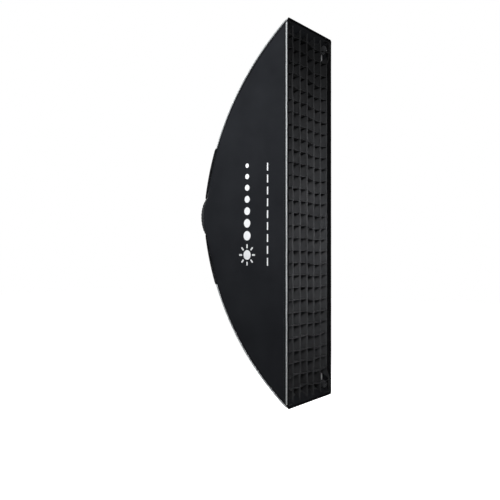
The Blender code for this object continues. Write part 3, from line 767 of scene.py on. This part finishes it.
def inner_tape(corner):
    """Tape over the inside of a seam, from one panel to the other."""
    side, up = CORNERS[corner]
    skin = Skin()
    rows = []
    for i in range(T_STEPS + 1):
        t = tape_t(i)
        on_side = side_place(side, t, up * inset_share(t, INNER_TAPE, False))
        on_cap = cap_place(up, t, side * inset_share(t, INNER_TAPE, True))
        on_side -= Vector((side, 0, 0)) * INNER_LIFT
        on_cap -= Vector((0, 0, up)) * INNER_LIFT
        fold = seam_place(corner, t, -SEAM_SETBACK - INNER_DEPTH)
        rows.append([
            skin.point(on_side * a + fold * b + on_cap * c, held(t), (c * 0.02, t * SEAM_LENGTH))
            for a, b, c in INNER_SHARES
        ])
    skin.strip(rows)
    lap = skin.made(f"seam_inner_tape_{corner}", ["binding"])
    thicken(lap, TAPE_T)
    return lap


# --- Mouth ------------------------------------------------------------------------------------------
MOUTH_CORNER_R, MOUTH_STEP, BEND_STEPS = 0.0055, 0.012, 6
HEM_PROFILE = (
    (-0.0056, -0.3655), (-0.0050, -0.3700), (-0.0040, -0.3752), (-0.0030, -0.3766), (-0.0012, -0.3774),
    (0.0004, -0.3775), (0.0013, -0.3768), (0.0014, -0.3757), (0.0006, -0.3750), (-0.0014, -0.3746),
    (-0.0022, -0.3700), (-0.0026, -0.3655),
)
HEM_INSIDE = 2  # the first edges of the profile, which face into the mouth
PIPING_PROFILE = (
    (0.0001, -0.3734), (0.0011, -0.3738), (0.0019, -0.3734), (0.0024, -0.3722), (0.0025, -0.3709),
    (0.0023, -0.3697), (0.0018, -0.3688), (0.0010, -0.3683), (0.0002, -0.3685),
)
HEM_STITCH_ROWS = (-0.3632, -0.3582)  # y of the two rows of stitches behind the piping


def mouth_path(up):
    """(x, z) and outward normal round the upper or lower half of the mouth, from left to right."""
    w, h, r = MOUTH_W / 2, MOUTH_H / 2, MOUTH_CORNER_R
    tall, wide = round((h - r) / MOUTH_STEP), round((2 * w - 2 * r) / MOUTH_STEP)

    def bend(centre_x, start):
        for i in range(BEND_STEPS + 1):
            a = start - math.pi / 2 * i / BEND_STEPS
            c, s = math.cos(a), math.sin(a)
            yield (centre_x + r * c, h - r + r * s), (c, s)

    spots = [((-w, (h - r) * i / tall), (-1, 0)) for i in range(tall)]
    spots += bend(-w + r, math.pi)
    spots += [((-w + r + (2 * w - 2 * r) * i / wide, h), (0, 1)) for i in range(1, wide)]
    spots += bend(w - r, math.pi / 2)
    spots += [((w, (h - r) * (1 - i / tall)), (1, 0)) for i in range(1, tall + 1)]
    return [((x, up * z), (nx, up * nz)) for (x, z), (nx, nz) in spots]


def mouth_weight(z):
    return smoothstep(abs(z) / (MOUTH_H / 2 * KEEPS_TO_ROD))


def mouth_band(name, up, profile, look, wave, taper, tuck, inside=0):
    """A profile of (outwards, y) points carried round one half of the mouth, tucked in at its corners."""
    skin = Skin()
    rows, run, last = [], 0.0, None
    for (x, z), (nx, nz) in mouth_path(up):
        run += math.dist((x, z), last) if last else 0.0
        last = (x, z)
        row = []
        to_corner = MOUTH_H / 2 - abs(z) if abs(x) > MOUTH_W / 2 - 0.001 else 0.0
        tucked = tuck * (1 - smoothstep((to_corner - 0.009) / 0.008))
        for out, y in profile:
            soft = wave * wobble(x, y * 3, z, 22.0, 3.0)
            lean = taper * (y - FRONT_Y)
            shade_from_middle = out + soft - lean - tucked
            row.append(skin.point((x + nx * shade_from_middle, y + soft, z + nz * shade_from_middle), mouth_weight(z), (run, y + out)))
        rows.append(row)
    skin.strip(rows, closed=True)
    skin.looks = [1 if n % len(profile) < inside else 0 for n in range(len(skin.faces))]
    skin.face(rows[0])
    skin.face(rows[-1][::-1])
    return skin.made(name, [look, "hem_inside"], angle=45, outwards=True)


def mouth_stitches(corner):
    """Two rows of stitches behind the piping, round one half of the mouth."""
    side, up = CORNERS[corner]
    out = Vector((side, 0, 0))
    thread = Skin()
    for y in HEM_STITCH_ROWS:
        t = t_at(y)
        half_h = seam(t)[2]

        def on_hem(distance, t=t, half_h=half_h):
            v = up * (0.004 + distance / half_h)
            return side_place(side, t, v) + out * 0.0002, side_weight(t, v), out

        stitches(thread, on_hem, half_h * 0.982)
    made = thread.made(f"mouth_stitches_{corner}", ["thread"])
    return made


# --- Grid -------------------------------------------------------------------------------------------
GRID_COLUMNS, GRID_ROWS = 6, 30
GRID_LOW, GRID_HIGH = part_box("grid")
GRID_HALF_W, GRID_HALF_H = GRID_HIGH.x + 0.0026, GRID_HIGH.z + 0.0072
GRID_FRONT, GRID_BACK = GRID_LOW.y + 0.0006, GRID_HIGH.y - 0.0004
GRID_BACK_HALF_W, GRID_BACK_HALF_H = 0.1350, 0.5530
GRID_T, GRID_DEPTH = 0.0008, 0.04
GRID_DROP = 0.0015  # the rows hang lower at their rear edge
GRID_RAISE = 0.006  # the rows are sewn in higher, because they sag
STRIP_DEPTHS = (0.0, 0.12, 0.3, 0.5, 0.7, 0.88, 1.0)
UPRIGHT_STEPS, LEVEL_STEPS = 6 * GRID_ROWS, 8 * GRID_COLUMNS
EDGE_HALF, EDGE_PROFILE = 0.0009, ((-1, 1.0), (-1, 0.1), (0, -0.08), (1, 0.1), (1, 1.0))  # side, back
OVER_POCKETS = (-0.3736, -0.3694)  # y range of the strips where they pass in front of the corner pockets


def row_sag(x, row):
    """How far a row of the grid hangs below its place, across the width."""
    limp = 0.0075 * smoothstep((x + 0.004) / 0.05) * (1 - 0.55 * smoothstep((x - 0.09) / 0.05))
    return limp * (0.75 + 0.35 * math.sin(row * 1.9)) + 0.0016 * wobble(x, row * 0.31, 0, 18.0, 4.0)


def grid_mess(z_share):
    """0 in the middle of the grid, and 1 near its top and bottom, where its strips are pulled about."""
    return smoothstep((abs(z_share) - 0.42) / 0.36)


def grid_half_size(y):
    """Half width and half height of the grid, which narrows towards its rear."""
    depth = max(0.0, (y - GRID_FRONT) / (GRID_BACK - GRID_FRONT))
    half_w = GRID_HALF_W + (GRID_BACK_HALF_W - GRID_HALF_W) * depth
    half_h = GRID_HALF_H + (GRID_BACK_HALF_H - GRID_HALF_H) * depth
    return half_w, half_h


def over_pocket(x_share, z_share):
    """1 where a strip passes in front of a corner pocket, and 0 over the rest of the grid."""
    return smoothstep((abs(x_share) - 0.68) / 0.16) * smoothstep((abs(z_share) - 0.868) / 0.062)


def grid_place(x_share, z_share, depth):
    """A point between the grid's front at depth 0 and its narrower rear at 1."""
    y = GRID_FRONT + (GRID_BACK - GRID_FRONT) * depth
    front, back = OVER_POCKETS
    y += (front + (back - front) * depth - y) * over_pocket(x_share, z_share)
    half_w, _ = grid_half_size(y)
    x = x_share * (half_w if abs(x_share) > 0.99 else GRID_HALF_W * (1 - 0.012 * depth))
    return Vector((x, y, z_share * GRID_HALF_H))


def kept_inside(place):
    """Bring a point of the grid back inside its outer strips."""
    half_w, half_h = grid_half_size(place.y)
    place.x = min(max(place.x, -half_w), half_w)
    place.z = min(max(place.z, -half_h), half_h)
    return place


def upright_spot(i, k, d):
    """A point of the grid's upright strip i."""
    x_share, z_share, depth = 2 * i / GRID_COLUMNS - 1, 2 * k / UPRIGHT_STEPS - 1, STRIP_DEPTHS[d]
    place = grid_place(x_share, z_share, depth)
    phase = (z_share * GRID_ROWS / 2 + GRID_ROWS / 2) * math.pi
    swell = 0.0016 * math.sin(phase) * math.sin(phase * 0.37 + i * 2.1)
    swell += 0.0013 * wobble(i * 0.7, depth * 0.4, place.z, 9.0, 5.0)
    if i in (0, GRID_COLUMNS):
        swell = swell * 0.4 + (-0.0005 if i else 0.0005)
    else:
        lean = wobble(i * 0.9, depth * 0.02, place.z, 14.0, 3.0) * (1 - over_pocket(x_share, z_share))
        swell += 0.0060 * lean * grid_mess(z_share)
    place.x += swell
    return kept_inside(place), 0.0, (place.z, depth * GRID_DEPTH)


def level_spot(row, i, d):
    """A point of one of the grid's level strips, which hang between the upright ones."""
    x_share, z_share, depth = 2 * i / LEVEL_STEPS - 1, 2 * row / GRID_ROWS - 1, STRIP_DEPTHS[d]
    place = grid_place(x_share, z_share, depth)
    hang = 0.0012 * abs(math.sin(math.pi * (x_share + 1) * GRID_COLUMNS / 2))
    if row not in (0, GRID_ROWS):
        free = grid_mess(z_share) * (1 - over_pocket(x_share, z_share))
        hang += row_sag(place.x, row)
        hang += 0.0070 * wobble(place.x, row * 0.71, 0.2, 26.0, 9.0) * free
        drop = GRID_DROP * (1 + 0.25 * wobble(place.x, row * 0.43, 0, 12.0, 6.0))
        drop += 0.0085 * wobble(place.x, row * 0.53, 0.6, 21.0, 11.0) * free
        hang = hang + drop * depth - GRID_RAISE
    place.z -= hang
    return kept_inside(place), 0.0, (place.x, depth * GRID_DEPTH)


def bound_edge(skin, rows):
    """Binding folded over the front edge of an upright strip."""
    edges = []
    for row in rows:
        front, behind = Vector(skin.points[row[0]]), Vector(skin.points[row[1]])
        edge = []
        for side, back in EDGE_PROFILE:
            place = front.lerp(behind, back) + Vector((side * EDGE_HALF, 0, 0))
            edge.append(skin.point(place, 0.0, (place.z, back * 0.005)))
        edges.append(edge)
    skin.strip(edges, look=1)


def grid_cloth():
    """Sewn strips: upright ones with a bound front edge, and level ones that hang between them."""
    skin = Skin()
    for i in range(GRID_COLUMNS + 1):
        rows = skin.net(UPRIGHT_STEPS + 1, len(STRIP_DEPTHS), partial(upright_spot, i))
        skin.strip(rows)
        bound_edge(skin, rows)
    for row in range(GRID_ROWS + 1):
        skin.strip(skin.net(LEVEL_STEPS + 1, len(STRIP_DEPTHS), partial(level_spot, row)))
    made = skin.made("grid_cloth", ["cell", "cell_edge"])
    thicken(made, GRID_T)
    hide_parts("grid")
    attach(made, "grid_body")
    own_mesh(made)


# --- Diffuser and baffle ----------------------------------------------------------------------------
WHITE_T, STRAP_T, STRAP_W = 0.0006, 0.0012, 0.012
STRAP_STEPS, STRAP_ACROSS = 24, 6
BAND_PIECE, BAND_EDGE = 0.02, -0.001


def stretched_sheet(name, width_at, half_h, y, billow, across, tall):
    """A flat cloth whose half width depends on height, a little slack in its middle."""
    def spot_at(k, i):
        z, u = half_h * (2 * k / tall - 1), 2 * i / across - 1
        x = u * width_at(z)
        calm = (1 - u * u) * (1 - (z / half_h) ** 6)
        soft = billow * calm + 0.0007 * wobble(x, 0, z, 14.0, 7.0) * calm
        return (x, y + soft, z), 0.0, (x, z)

    skin = Skin()
    skin.strip(skin.net(tall + 1, across + 1, spot_at))
    made = skin.made(name, ["diffusion"])
    thicken(made, WHITE_T)
    return made


def outline_band(name, outline, y, width, thickness, look):
    """Tape sewn round the edge of a flat cloth, on both of its faces, from corner points (x, z)."""
    corners = [Vector(spot) for spot in outline]
    spots = []
    for a, b in zip(corners, corners[1:] + corners[:1]):
        pieces = max(2, round((b - a).length / BAND_PIECE))
        spots += [a.lerp(b, k / pieces) for k in range(pieces)]
    half = thickness / 2
    section = (
        (BAND_EDGE, -half * 0.5), (0.0, -half), (width, -half),
        (width, half), (0.0, half), (BAND_EDGE, half * 0.5),
    )
    skin = Skin()
    rows, run = [], 0.0
    for i, here in enumerate(spots):
        along = (spots[(i + 1) % len(spots)] - spots[i - 1]).normalized()
        inwards = Vector((-along.y, along.x))
        run += (here - spots[i - 1]).length if i else 0.0
        soft = 0.0003 * math.sin(run * 240)
        row = []
        for depth, up in section:
            place = here + inwards * depth
            row.append(skin.point((place.x, y + up + soft, place.y), 0.0, (run, depth)))
        rows.append(row)
    rows.append(rows[0])
    skin.strip(rows, closed=True)
    return skin.made(name, [look], outwards=True)


def diffuser():
    """The white front cloth, with its corners cut off for the pockets."""
    low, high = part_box("front_diffuser")
    w, h = high.x, high.z
    cut_w, cut_h = 0.040, 0.090
    y = (low.y + high.y) / 2 + 0.0004

    def width_at(z):
        return w - cut_w * max(0.0, (abs(z) - (h - cut_h)) / cut_h)

    cloth = stretched_sheet("diffuser_cloth", width_at, h, y, 0.0026, 26, 90)
    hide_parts("front_diffuser")
    cw, ch = w - cut_w, h - cut_h
    outline = [(-cw, -h), (cw, -h), (w, -ch), (w, ch), (cw, h), (-cw, h), (-w, ch), (-w, -ch)]
    band = outline_band("diffuser_tape", outline, y, 0.016, 0.0018, "elastic")
    for piece in (cloth, band):
        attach(piece, "diffuser")
        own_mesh(piece)


def baffle_strap(corner, y):
    """Elastic strap from a corner of the baffle towards the side panel. It ends short of the cloth."""
    side, up = CORNERS[corner]
    low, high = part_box(f"baffle_strap_{corner}")
    inner_x = side * min(abs(low.x), abs(high.x))
    outer_x = side * max(abs(low.x), abs(high.x))
    inner_z, outer_z = (low.z, high.z) if up > 0 else (high.z, low.z)
    start = Vector((inner_x - side * 0.012, y, inner_z + up * 0.002))
    end = Vector((outer_x, y, outer_z - up * 0.014))

    def spot_at(i, k):
        share, across = i / STRAP_STEPS, up * STRAP_W * k / STRAP_ACROSS
        dip = 0.0006 * math.sin(share * 60) * (k % 2 * 2 - 1) * 0.5
        spot = start.lerp(end, share) + Vector((0, dip - 0.0012 * (1 - share), across))
        return spot, 0.0, (share * 0.05, across)

    skin = Skin()
    skin.strip(skin.net(STRAP_STEPS + 1, STRAP_ACROSS + 1, spot_at))
    strap = skin.made(f"baffle_elastic_{corner}", ["elastic"])
    thicken(strap, STRAP_T)
    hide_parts(f"baffle_strap_{corner}")
    return strap


def baffle():
    """The white inner cloth, its hem, and its four straps."""
    low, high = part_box("inner_baffle")
    w, h, y = high.x, high.z, (low.y + high.y) / 2
    cloth = stretched_sheet("baffle_cloth", lambda z: w, h, y, -0.004, 20, 60)
    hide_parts("inner_baffle")
    outline = [(-w, -h), (w, -h), (w, h), (-w, h)]
    band = outline_band("baffle_hem", outline, y, 0.010, 0.0016, "white_hem")
    straps = [baffle_strap(corner, y) for corner in CORNERS]
    for piece in [cloth, band, *straps]:
        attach(piece, "ring")
        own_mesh(piece)


# --- Rear cuff --------------------------------------------------------------------------------------
CUFF_SIDES = 300


def rear_cuff():
    """Gathered band that closes the canopy on the ring, with a rolled edge round the panels' ends."""
    low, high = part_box("rear_cuff")
    band_r = high.x
    skin = Skin()
    rows = []
    for a, c, s in circle(CUFF_SIDES):
        beside_lock = smoothstep((abs(s) * REAR_R - 0.013) / 0.006) if c > 0 else 1.0
        roll_r = band_r + 0.0006 + (REAR_R - 0.0004 - band_r) * beside_lock
        gather = 0.0006 * math.sin(a * 46) + 0.0003 * math.sin(a * 29 + 1)
        profile = (
            (band_r - 0.0014, low.y),
            (band_r - 0.0006 + gather * 0.3, (low.y + high.y) / 2),
            (band_r - 0.0012 + gather * 0.4, high.y - 0.0006),
            (band_r + 0.0010 + gather * 0.6, high.y + 0.0012),
            (roll_r + gather, high.y + 0.0016 * beside_lock + 0.0004),
            (roll_r + 0.0008 * beside_lock + gather, high.y - 0.0014),
            (roll_r + 0.0009 * beside_lock + gather, high.y - 0.0052),
            (roll_r + 0.0004 + gather * 0.3, high.y - 0.0078),
        )
        rows.append([skin.point((r * c, y, r * s), 0.0, (a * REAR_R, y + r)) for r, y in profile])
    rows.append(rows[0])
    skin.strip(rows)
    made = skin.made("cuff_cloth", ["guard"])
    thicken(made, WEBBING_T)
    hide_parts("rear_cuff")
    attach(made, "ring")


# --- Corner pockets ---------------------------------------------------------------------------------
PIVOT_X, PIVOT_Y, PIVOT_Z = 0.050, -0.030, 0.052
TIP_X, TIP_Y, TIP_Z = 0.1325, -0.3600, 0.5720
SLEEVE_LEN, ROD_LEAN = 0.048, math.radians(15)
POCKET_LEN, POCKET_END = 0.026, 0.005
POCKET_HALF_W, POCKET_SIDES = 0.0077, 40
POCKET_SECTIONS = (  # place along the pocket, share of its size, half height
    (0.0000, 1.00, 0.0066), (0.0004, 1.06, 0.0066), (0.0040, 1.07, 0.0066), (0.0046, 1.00, 0.0066),
    (0.0100, 1.00, 0.0064), (0.0160, 1.01, 0.0064), (0.0205, 0.99, 0.0062), (0.0235, 0.90, 0.0056),
    (0.0252, 0.70, 0.0044), (0.0260, 0.36, 0.0024),
)
FLAP_STEPS, FLAP_ACROSS, FLAP_LEN, FLAP_STITCHED = 8, 3, 0.0235, 0.021


def rod_end(side, up):
    """The end of a rod and the direction that it points in."""
    reach = Vector((TIP_X - PIVOT_X, TIP_Z - PIVOT_Z))
    start = Vector((SLEEVE_LEN * math.cos(ROD_LEAN), PIVOT_Y - SLEEVE_LEN * math.sin(ROD_LEAN)))
    end = Vector((reach.length, TIP_Y))
    chord = end - start
    half_turn = math.atan2(-chord.y, chord.x) - ROD_LEAN
    step = end - arc_point(start, end, half_turn, 0.97)
    out = reach.normalized() * step.x
    return Vector((side * TIP_X, TIP_Y, up * TIP_Z)), Vector((side * out.x, step.y, up * out.y)).normalized()


def corner_pocket(corner):
    """Sewn sleeve that holds a rod's end: a hemmed mouth, a rounded closed end, and a flap on each side."""
    side, up = CORNERS[corner]
    end, along = rod_end(side, up)
    outward = Vector((side * 0.86, 0.0, up * 0.51))
    outward = (outward - along * outward.dot(along)).normalized()
    across = along.cross(outward)
    base = end + along * (POCKET_END - POCKET_LEN)
    skin, thread = Skin(), Skin()
    rows = []
    for run, fat, tall in POCKET_SECTIONS:
        row = []
        for a, c, s in circle(POCKET_SIDES):
            crease = 0.00016 * math.sin(a * 7 + run * 400)
            wide = POCKET_HALF_W * fat + crease
            high = (tall if s < 0 else tall * 1.05) * fat + crease
            spot = base + along * run + across * (wide * c) + outward * (high * s)
            row.append(skin.point(spot, 0.0, (a * 0.007, run)))
        rows.append(row)
    skin.strip(rows, closed=True)
    skin.face(rows[-1][::-1])
    for hand in (-1, 1):
        def flap_spot(i, k, hand=hand):
            run, reach = 0.0005 + FLAP_LEN * i / FLAP_STEPS, 0.0070 + 0.0022 * k
            lift = 0.0034 + 0.0006 * k + 0.0003 * math.sin(i * 2.1 + k)
            return base + along * run + across * (hand * reach) + outward * lift, 0.0, (run, reach)

        def on_flap(distance, hand=hand):
            spot = base + along * (0.0015 + distance) + across * (hand * 0.0118) + outward * 0.0040
            return spot, 0.0, -outward

        skin.strip(skin.net(FLAP_STEPS + 1, FLAP_ACROSS + 1, flap_spot))
        stitches(thread, on_flap, FLAP_STITCHED, length=0.0022, pitch=0.0036)
    pocket = skin.made(f"pocket_cloth_{corner}", ["guard"])
    thicken(pocket, WEBBING_T, -1.0)
    sewn = thread.made(f"pocket_stitches_{corner}", ["stitch"])
    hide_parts(f"corner_pocket_{corner}")
    for piece in (pocket, sewn):
        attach(piece, f"rod_body_{corner}")


# --- Mount ------------------------------------------------------------------------------------------
BORE_R, NECK_R, LUG_R, HUB_R, FLANGE_R = 0.0485, 0.0525, 0.0590, 0.0565, 0.0740
NECK_END_Y, FLANGE_T, RING_FRONT_Y = 0.016, 0.005, -0.020
EDGE, COINS = 0.0008, 120  # eased edge of the neck, and notches round the flange
LUG_Y, LUG_T, LUG_ARC, LUG_ROOT_R = 0.011, 0.0035, math.radians(44), 0.0510
LUG_STEPS, LUG_CHAMFER = 28, 0.0007
LOCK_Y, LOCK_HEAD_X, LOCK_HEAD_R, LOCK_SCREW_R = -0.0135, 0.0815, 0.0100, 0.003
LOCK_FLUTES, LOCK_CORE_R, LOCK_PITCH = 6, 0.0024, 0.0008
AXIS_X, AXIS_Y = (1, 0, 0), (0, 1, 0)
ADAPTER_SECTION = (
    (BORE_R, NECK_END_Y - EDGE), (BORE_R + EDGE, NECK_END_Y), (NECK_R - EDGE, NECK_END_Y),
    (NECK_R, NECK_END_Y - EDGE), (NECK_R, 0.0007), (NECK_R + 0.0007, 0.0),
    (0.0600, 0.0), (0.0603, -0.0005), (0.0611, -0.0005), (0.0614, 0.0),
    (0.0692, 0.0), (0.0694, -0.0004), (0.0700, -0.0004), (0.0702, 0.0),
    (FLANGE_R - 0.0010, 0.0), (FLANGE_R, -0.0010), (FLANGE_R, -0.0040), (FLANGE_R - 0.0010, -FLANGE_T),
    (HUB_R, -FLANGE_T), (HUB_R, RING_FRONT_Y + 0.0005), (HUB_R - 0.0005, RING_FRONT_Y),
    (BORE_R + 0.0005, RING_FRONT_Y), (BORE_R, RING_FRONT_Y + 0.0005),
)
DOT_SECTION = ((0.0, 0.00025), (0.0017, 0.00025), (0.0021, 0.00005), (0.0021, -0.0003), (0.0, -0.0003))
LOCK_HEAD_SECTION = (
    (0.0, 0.0), (LOCK_HEAD_R - 0.0022, 0.0), (LOCK_HEAD_R - 0.0012, 0.0008), (LOCK_HEAD_R - 0.0008, 0.0024),
    (LOCK_HEAD_R, 0.0036), (LOCK_HEAD_R, 0.0060), (LOCK_HEAD_R, 0.0090), (LOCK_HEAD_R, 0.0120),
    (LOCK_HEAD_R - 0.0002, 0.0136), (LOCK_HEAD_R - 0.0010, 0.0147), (LOCK_HEAD_R - 0.0026, 0.0150),
    (LOCK_HEAD_R - 0.0040, 0.0146), (0.0030, 0.0141), (0.0, 0.0141),
)
EYELET_SECTION = ((0.0038, -0.0002), (0.0042, 0.0006), (0.0052, 0.0008), (0.0060, 0.0004), (0.0062, -0.0002))


def around_y(radius, turn, y):
    return Vector((radius * math.cos(turn), y, radius * math.sin(turn)))


def turned_piece(name, look, section, centre, axis, sides, ripple=None, angle=50):
    skin = Skin()
    turned(skin, section, centre, axis, sides, ripple)
    return skin.made(name, [look], angle, outwards=True)


def coined(turn, k):
    """Notches round the rim of the adapter's flange."""
    return -0.0006 * (0.5 + 0.5 * math.cos(COINS * turn)) if ADAPTER_SECTION[k][0] == FLANGE_R else 0.0


def lug(skin, middle):
    """One ramped bayonet lug of the adapter, about an angle."""
    rows = []
    for k in range(LUG_STEPS + 1):
        turn = middle + LUG_ARC * (k / LUG_STEPS - 0.5)
        ramp = smoothstep(min(k, LUG_STEPS - k) / 4)
        outer = LUG_ROOT_R + (LUG_R - LUG_ROOT_R) * (0.62 + 0.38 * ramp)
        section = (
            (LUG_ROOT_R, 0.0), (outer - LUG_CHAMFER, 0.0), (outer, LUG_CHAMFER),
            (outer, LUG_T - LUG_CHAMFER), (outer - LUG_CHAMFER, LUG_T), (LUG_ROOT_R, LUG_T),
        )
        rows.append([skin.point(around_y(r, turn, LUG_Y + y), 0.0, (r * turn, y)) for r, y in section])
    skin.strip(rows, closed=True, capped=True)


def adapter():
    """Flange with a coined edge and two turned grooves, a neck with three ramped lugs, and the hub."""
    skin = Skin()
    turned(skin, ADAPTER_SECTION, (0, 0, 0), AXIS_Y, COINS * 4, coined)
    for i in range(3):
        lug(skin, math.radians(90 + 120 * i))
    made = skin.made("adapter_body", ["metal"], angle=32, outwards=True)
    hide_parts("bayonet_adapter")
    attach(made, "adapter")

    dot = turned_piece("index_dot", "button", DOT_SECTION, around_y(0.0652, math.pi / 2, 0.0), AXIS_Y, 32)
    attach(dot, "adapter")


def fluted(turn, k):
    """Flutes down the side of the lock knob's head."""
    r, along = LOCK_HEAD_SECTION[k]
    cut = max(0.0, math.cos(LOCK_FLUTES * turn)) ** 3
    return -0.0024 * cut * smoothstep((along - 0.0024) / 0.003) * smoothstep((r - 0.004) / 0.004)


def lock_knob():
    """Thumb screw: a six-fluted head with a dished end, and a threaded shank."""
    head_at = (LOCK_HEAD_X, LOCK_Y, 0)
    knob = turned_piece("lock_head", "plastic", LOCK_HEAD_SECTION, head_at, AXIS_X, 144, fluted, 40)
    start, end = HUB_R + 0.0009, LOCK_HEAD_X + 0.001
    section = [(0.0, start)]
    for i in range(int((end - start) / LOCK_PITCH)):
        section += [(LOCK_CORE_R, start + i * LOCK_PITCH), (LOCK_SCREW_R, start + (i + 0.5) * LOCK_PITCH)]
    section += [(LOCK_CORE_R, end), (0.0, end)]
    shank = turned_piece("lock_screw", "steel", section, (0, LOCK_Y, 0), AXIS_X, 32, angle=25)
    for made, slot in ((knob, "black_plastic"), (shank, "spring_steel")):
        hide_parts("lock_knob")
        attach(made, "lock")

    eyelet_at = (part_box("rear_cuff")[1].x, LOCK_Y, 0)
    eyelet = turned_piece("lock_eyelet", "steel", EYELET_SECTION, eyelet_at, AXIS_X, 40)
    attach(eyelet, "ring")


# --- Printed mark -----------------------------------------------------------------------------------
SUN_Y, SUN_Z, SUN_R = -0.2095, -0.128, 0.0155
RAYS, RAY_REACHES, RAY_R = 8, (0.0245, 0.0280, 0.0315), 0.0030
DOTS, DASHES, DASH_Y = 7, 9, -0.2955
MARK_RINGS, DOT_SIDES, DASH_SIDES = 2, 28, 24
PRINT_LIFT = 0.00035


def printed(y, z):
    """A point of the left side panel, with its weight, from a place seen from the side."""
    t = t_at(y)
    v = z / panel_edge(t).z
    return side_place(-1, t, v) - Vector((PRINT_LIFT, 0, 0)), side_weight(t, v), (y, z)


def printed_mark():
    """A generic light symbol, a row of shrinking dots and a row of dashes, with no letters."""
    halves = {"top_left": Skin(), "bottom_left": Skin()}

    def patch(z, sides, outline_of):
        """A printed shape from a function of (share out, angle) giving (y, z)."""
        def spot_at(i, k):
            return printed(*outline_of(i / MARK_RINGS, 2 * math.pi * (k / sides)))

        skin = halves["top_left" if z > 0 else "bottom_left"]
        skin.strip(skin.net(MARK_RINGS + 1, sides, spot_at), closed=True)

    def disc(y, z, radius):
        patch(z, DOT_SIDES, lambda out, a: (y + radius * out * math.cos(a), z + radius * out * math.sin(a)))

    def bar(y, z, half_y, half_z):
        """A short bar, filled from its middle line out to its edge."""
        def outline(out, a):
            c, s = math.cos(a), math.sin(a)
            reach = 1 / max(abs(c), abs(s))
            return y + half_y * c * reach * out, z + half_z * s * reach * out
        patch(z, DASH_SIDES, outline)

    disc(SUN_Y, SUN_Z, SUN_R)
    for i in range(RAYS):
        a = math.pi / 4 * i
        for reach in RAY_REACHES:
            disc(SUN_Y + reach * math.cos(a), SUN_Z + reach * math.sin(a), RAY_R)
    for i in range(DOTS):
        disc(SUN_Y, -0.0665 + 0.0405 * i - 0.0005 * i * i, 0.0150 - 0.0013 * i)
    for i in range(DASHES):
        bar(DASH_Y, -0.149 + 0.0372 * i, 0.0024, 0.0122)
    for corner, skin in halves.items():
        made = skin.made(f"side_mark_{corner}", ["print"])
        fold_with(made, corner)


def build_canopy():
    """The panels with their trims and the bands round the mouth, each folding with its rod."""
    for corner in CORNERS:
        cloth = side_panel(corner)
        trims = [seam_cord(corner), seam_guard(corner), *bindings(corner)]
        sewn = mouth_stitches(corner)
        for piece in [cloth, sewn, *trims]:
            fold_with(piece, corner)
    for up, word in ((1, "top"), (-1, "bottom")):
        cap = cap_panel(word, up)
        fold_with(cap, f"{word}_left")
        hem = mouth_band(f"mouth_hem_{word}", up, HEM_PROFILE, "hem", 0.0004, 0.12, -0.0009, HEM_INSIDE)
        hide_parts("front_hem")
        piping = mouth_band(f"mouth_piping_{word}", up, PIPING_PROFILE, "cord", 0.00025, 0.06, 0.0030)
        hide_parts("front_piping")
        for piece in (hem, piping):
            fold_with(piece, f"{word}_left")


def dress_frame():
    """Better materials for the CAD nodes that stay."""
    finishes = {"speed_ring": "metal", "retaining_ring": "metal", "slide_washer": "washer"}
    finishes |= {f"retaining_screw_{i + 1}": "steel" for i in range(4)}
    for corner in CORNERS:
        finishes |= {
            f"rod_socket_{corner}": "plastic", f"hinge_pin_{corner}": "steel", f"rod_{corner}": "steel",
            f"rod_tip_{corner}": "rubber", f"release_button_{corner}": "button",
        }
    for node, look in finishes.items():
        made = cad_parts[node]
        made.data.materials.clear()
        made.data.materials.append(LOOKS[look])
        eased = made.modifiers.new("eased_edges", "BEVEL")
        eased.width, eased.segments = 0.0003, 2
        eased.limit_method, eased.angle_limit = "ANGLE", math.radians(35)


SURROUND = 0.12  # light that the white surround gives
FLOOR_REACH, FLOOR_Z = 14.0, -1.25
LIGHTS = (  # name, size, watts, spread in degrees, place, aim
    ("key", 0.28, 43.0, 180, (-1.06, -2.07, 0.90), (0, -0.3, 0)),
    ("low_key", 0.3, 1.9, 60, (-1.6, -1.3, 0.40), (-0.1, -0.35, -0.58)),
    ("upper_left", 0.9, 10.5, 72, (-1.5, 0.4, 0.70), (0, -0.2, 0.38)),
    ("behind", 2.4, 420.0, 180, (2.2, 2.9, 1.6), (0, -0.1, 0)),
    ("front_right", 1.6, 40.0, 180, (1.3, -3.4, 0.5), (0, -0.3, 0)),
)


def make_studio():
    """Plain pale floor, five disc lights round the softbox, and a white surround."""
    skin = Skin()
    corners = [(x * FLOOR_REACH, y * FLOOR_REACH) for x, y in ((-1, -1), (1, -1), (1, 1), (-1, 1))]
    skin.face([skin.point((x, y, FLOOR_Z), 0.0, (x, y)) for x, y in corners])
    skin.made("floor", ["floor"], angle=None)

    world = bpy.data.worlds.new("studio")
    world.use_nodes = True
    bpy.context.scene.world = world
    tree = world.node_tree
    seen = tree.nodes.new("ShaderNodeLightPath").outputs["Is Camera Ray"]
    strength = tree.nodes.new("ShaderNodeMapRange")
    strength.inputs["To Min"].default_value = SURROUND
    strength.inputs["To Max"].default_value = 1.0
    tree.links.new(seen, strength.inputs["Value"])
    tree.links.new(strength.outputs["Result"], tree.nodes["Background"].inputs["Strength"])
    tree.nodes["Background"].inputs["Color"].default_value = (1.0, 1.0, 1.0, 1.0)

    for name, size, watts, spread, place, aim in LIGHTS:
        data = bpy.data.lights.new(name, "AREA")
        data.shape, data.size, data.energy, data.spread = "DISK", size, watts, math.radians(spread)
        light = bpy.data.objects.new(name, data)
        light.visible_camera = False
        light.location = place
        light.rotation_euler = (Vector(aim) - Vector(place)).to_track_quat("-Z", "Y").to_euler()
        bpy.context.scene.collection.objects.link(light)
    bpy.context.scene.view_settings.view_transform = "Standard"


make_camera()
build_canopy()
printed_mark()
grid_cloth()
diffuser()
baffle()
rear_cuff()
for corner in CORNERS:
    corner_pocket(corner)
adapter()
lock_knob()
dress_frame()
make_studio()
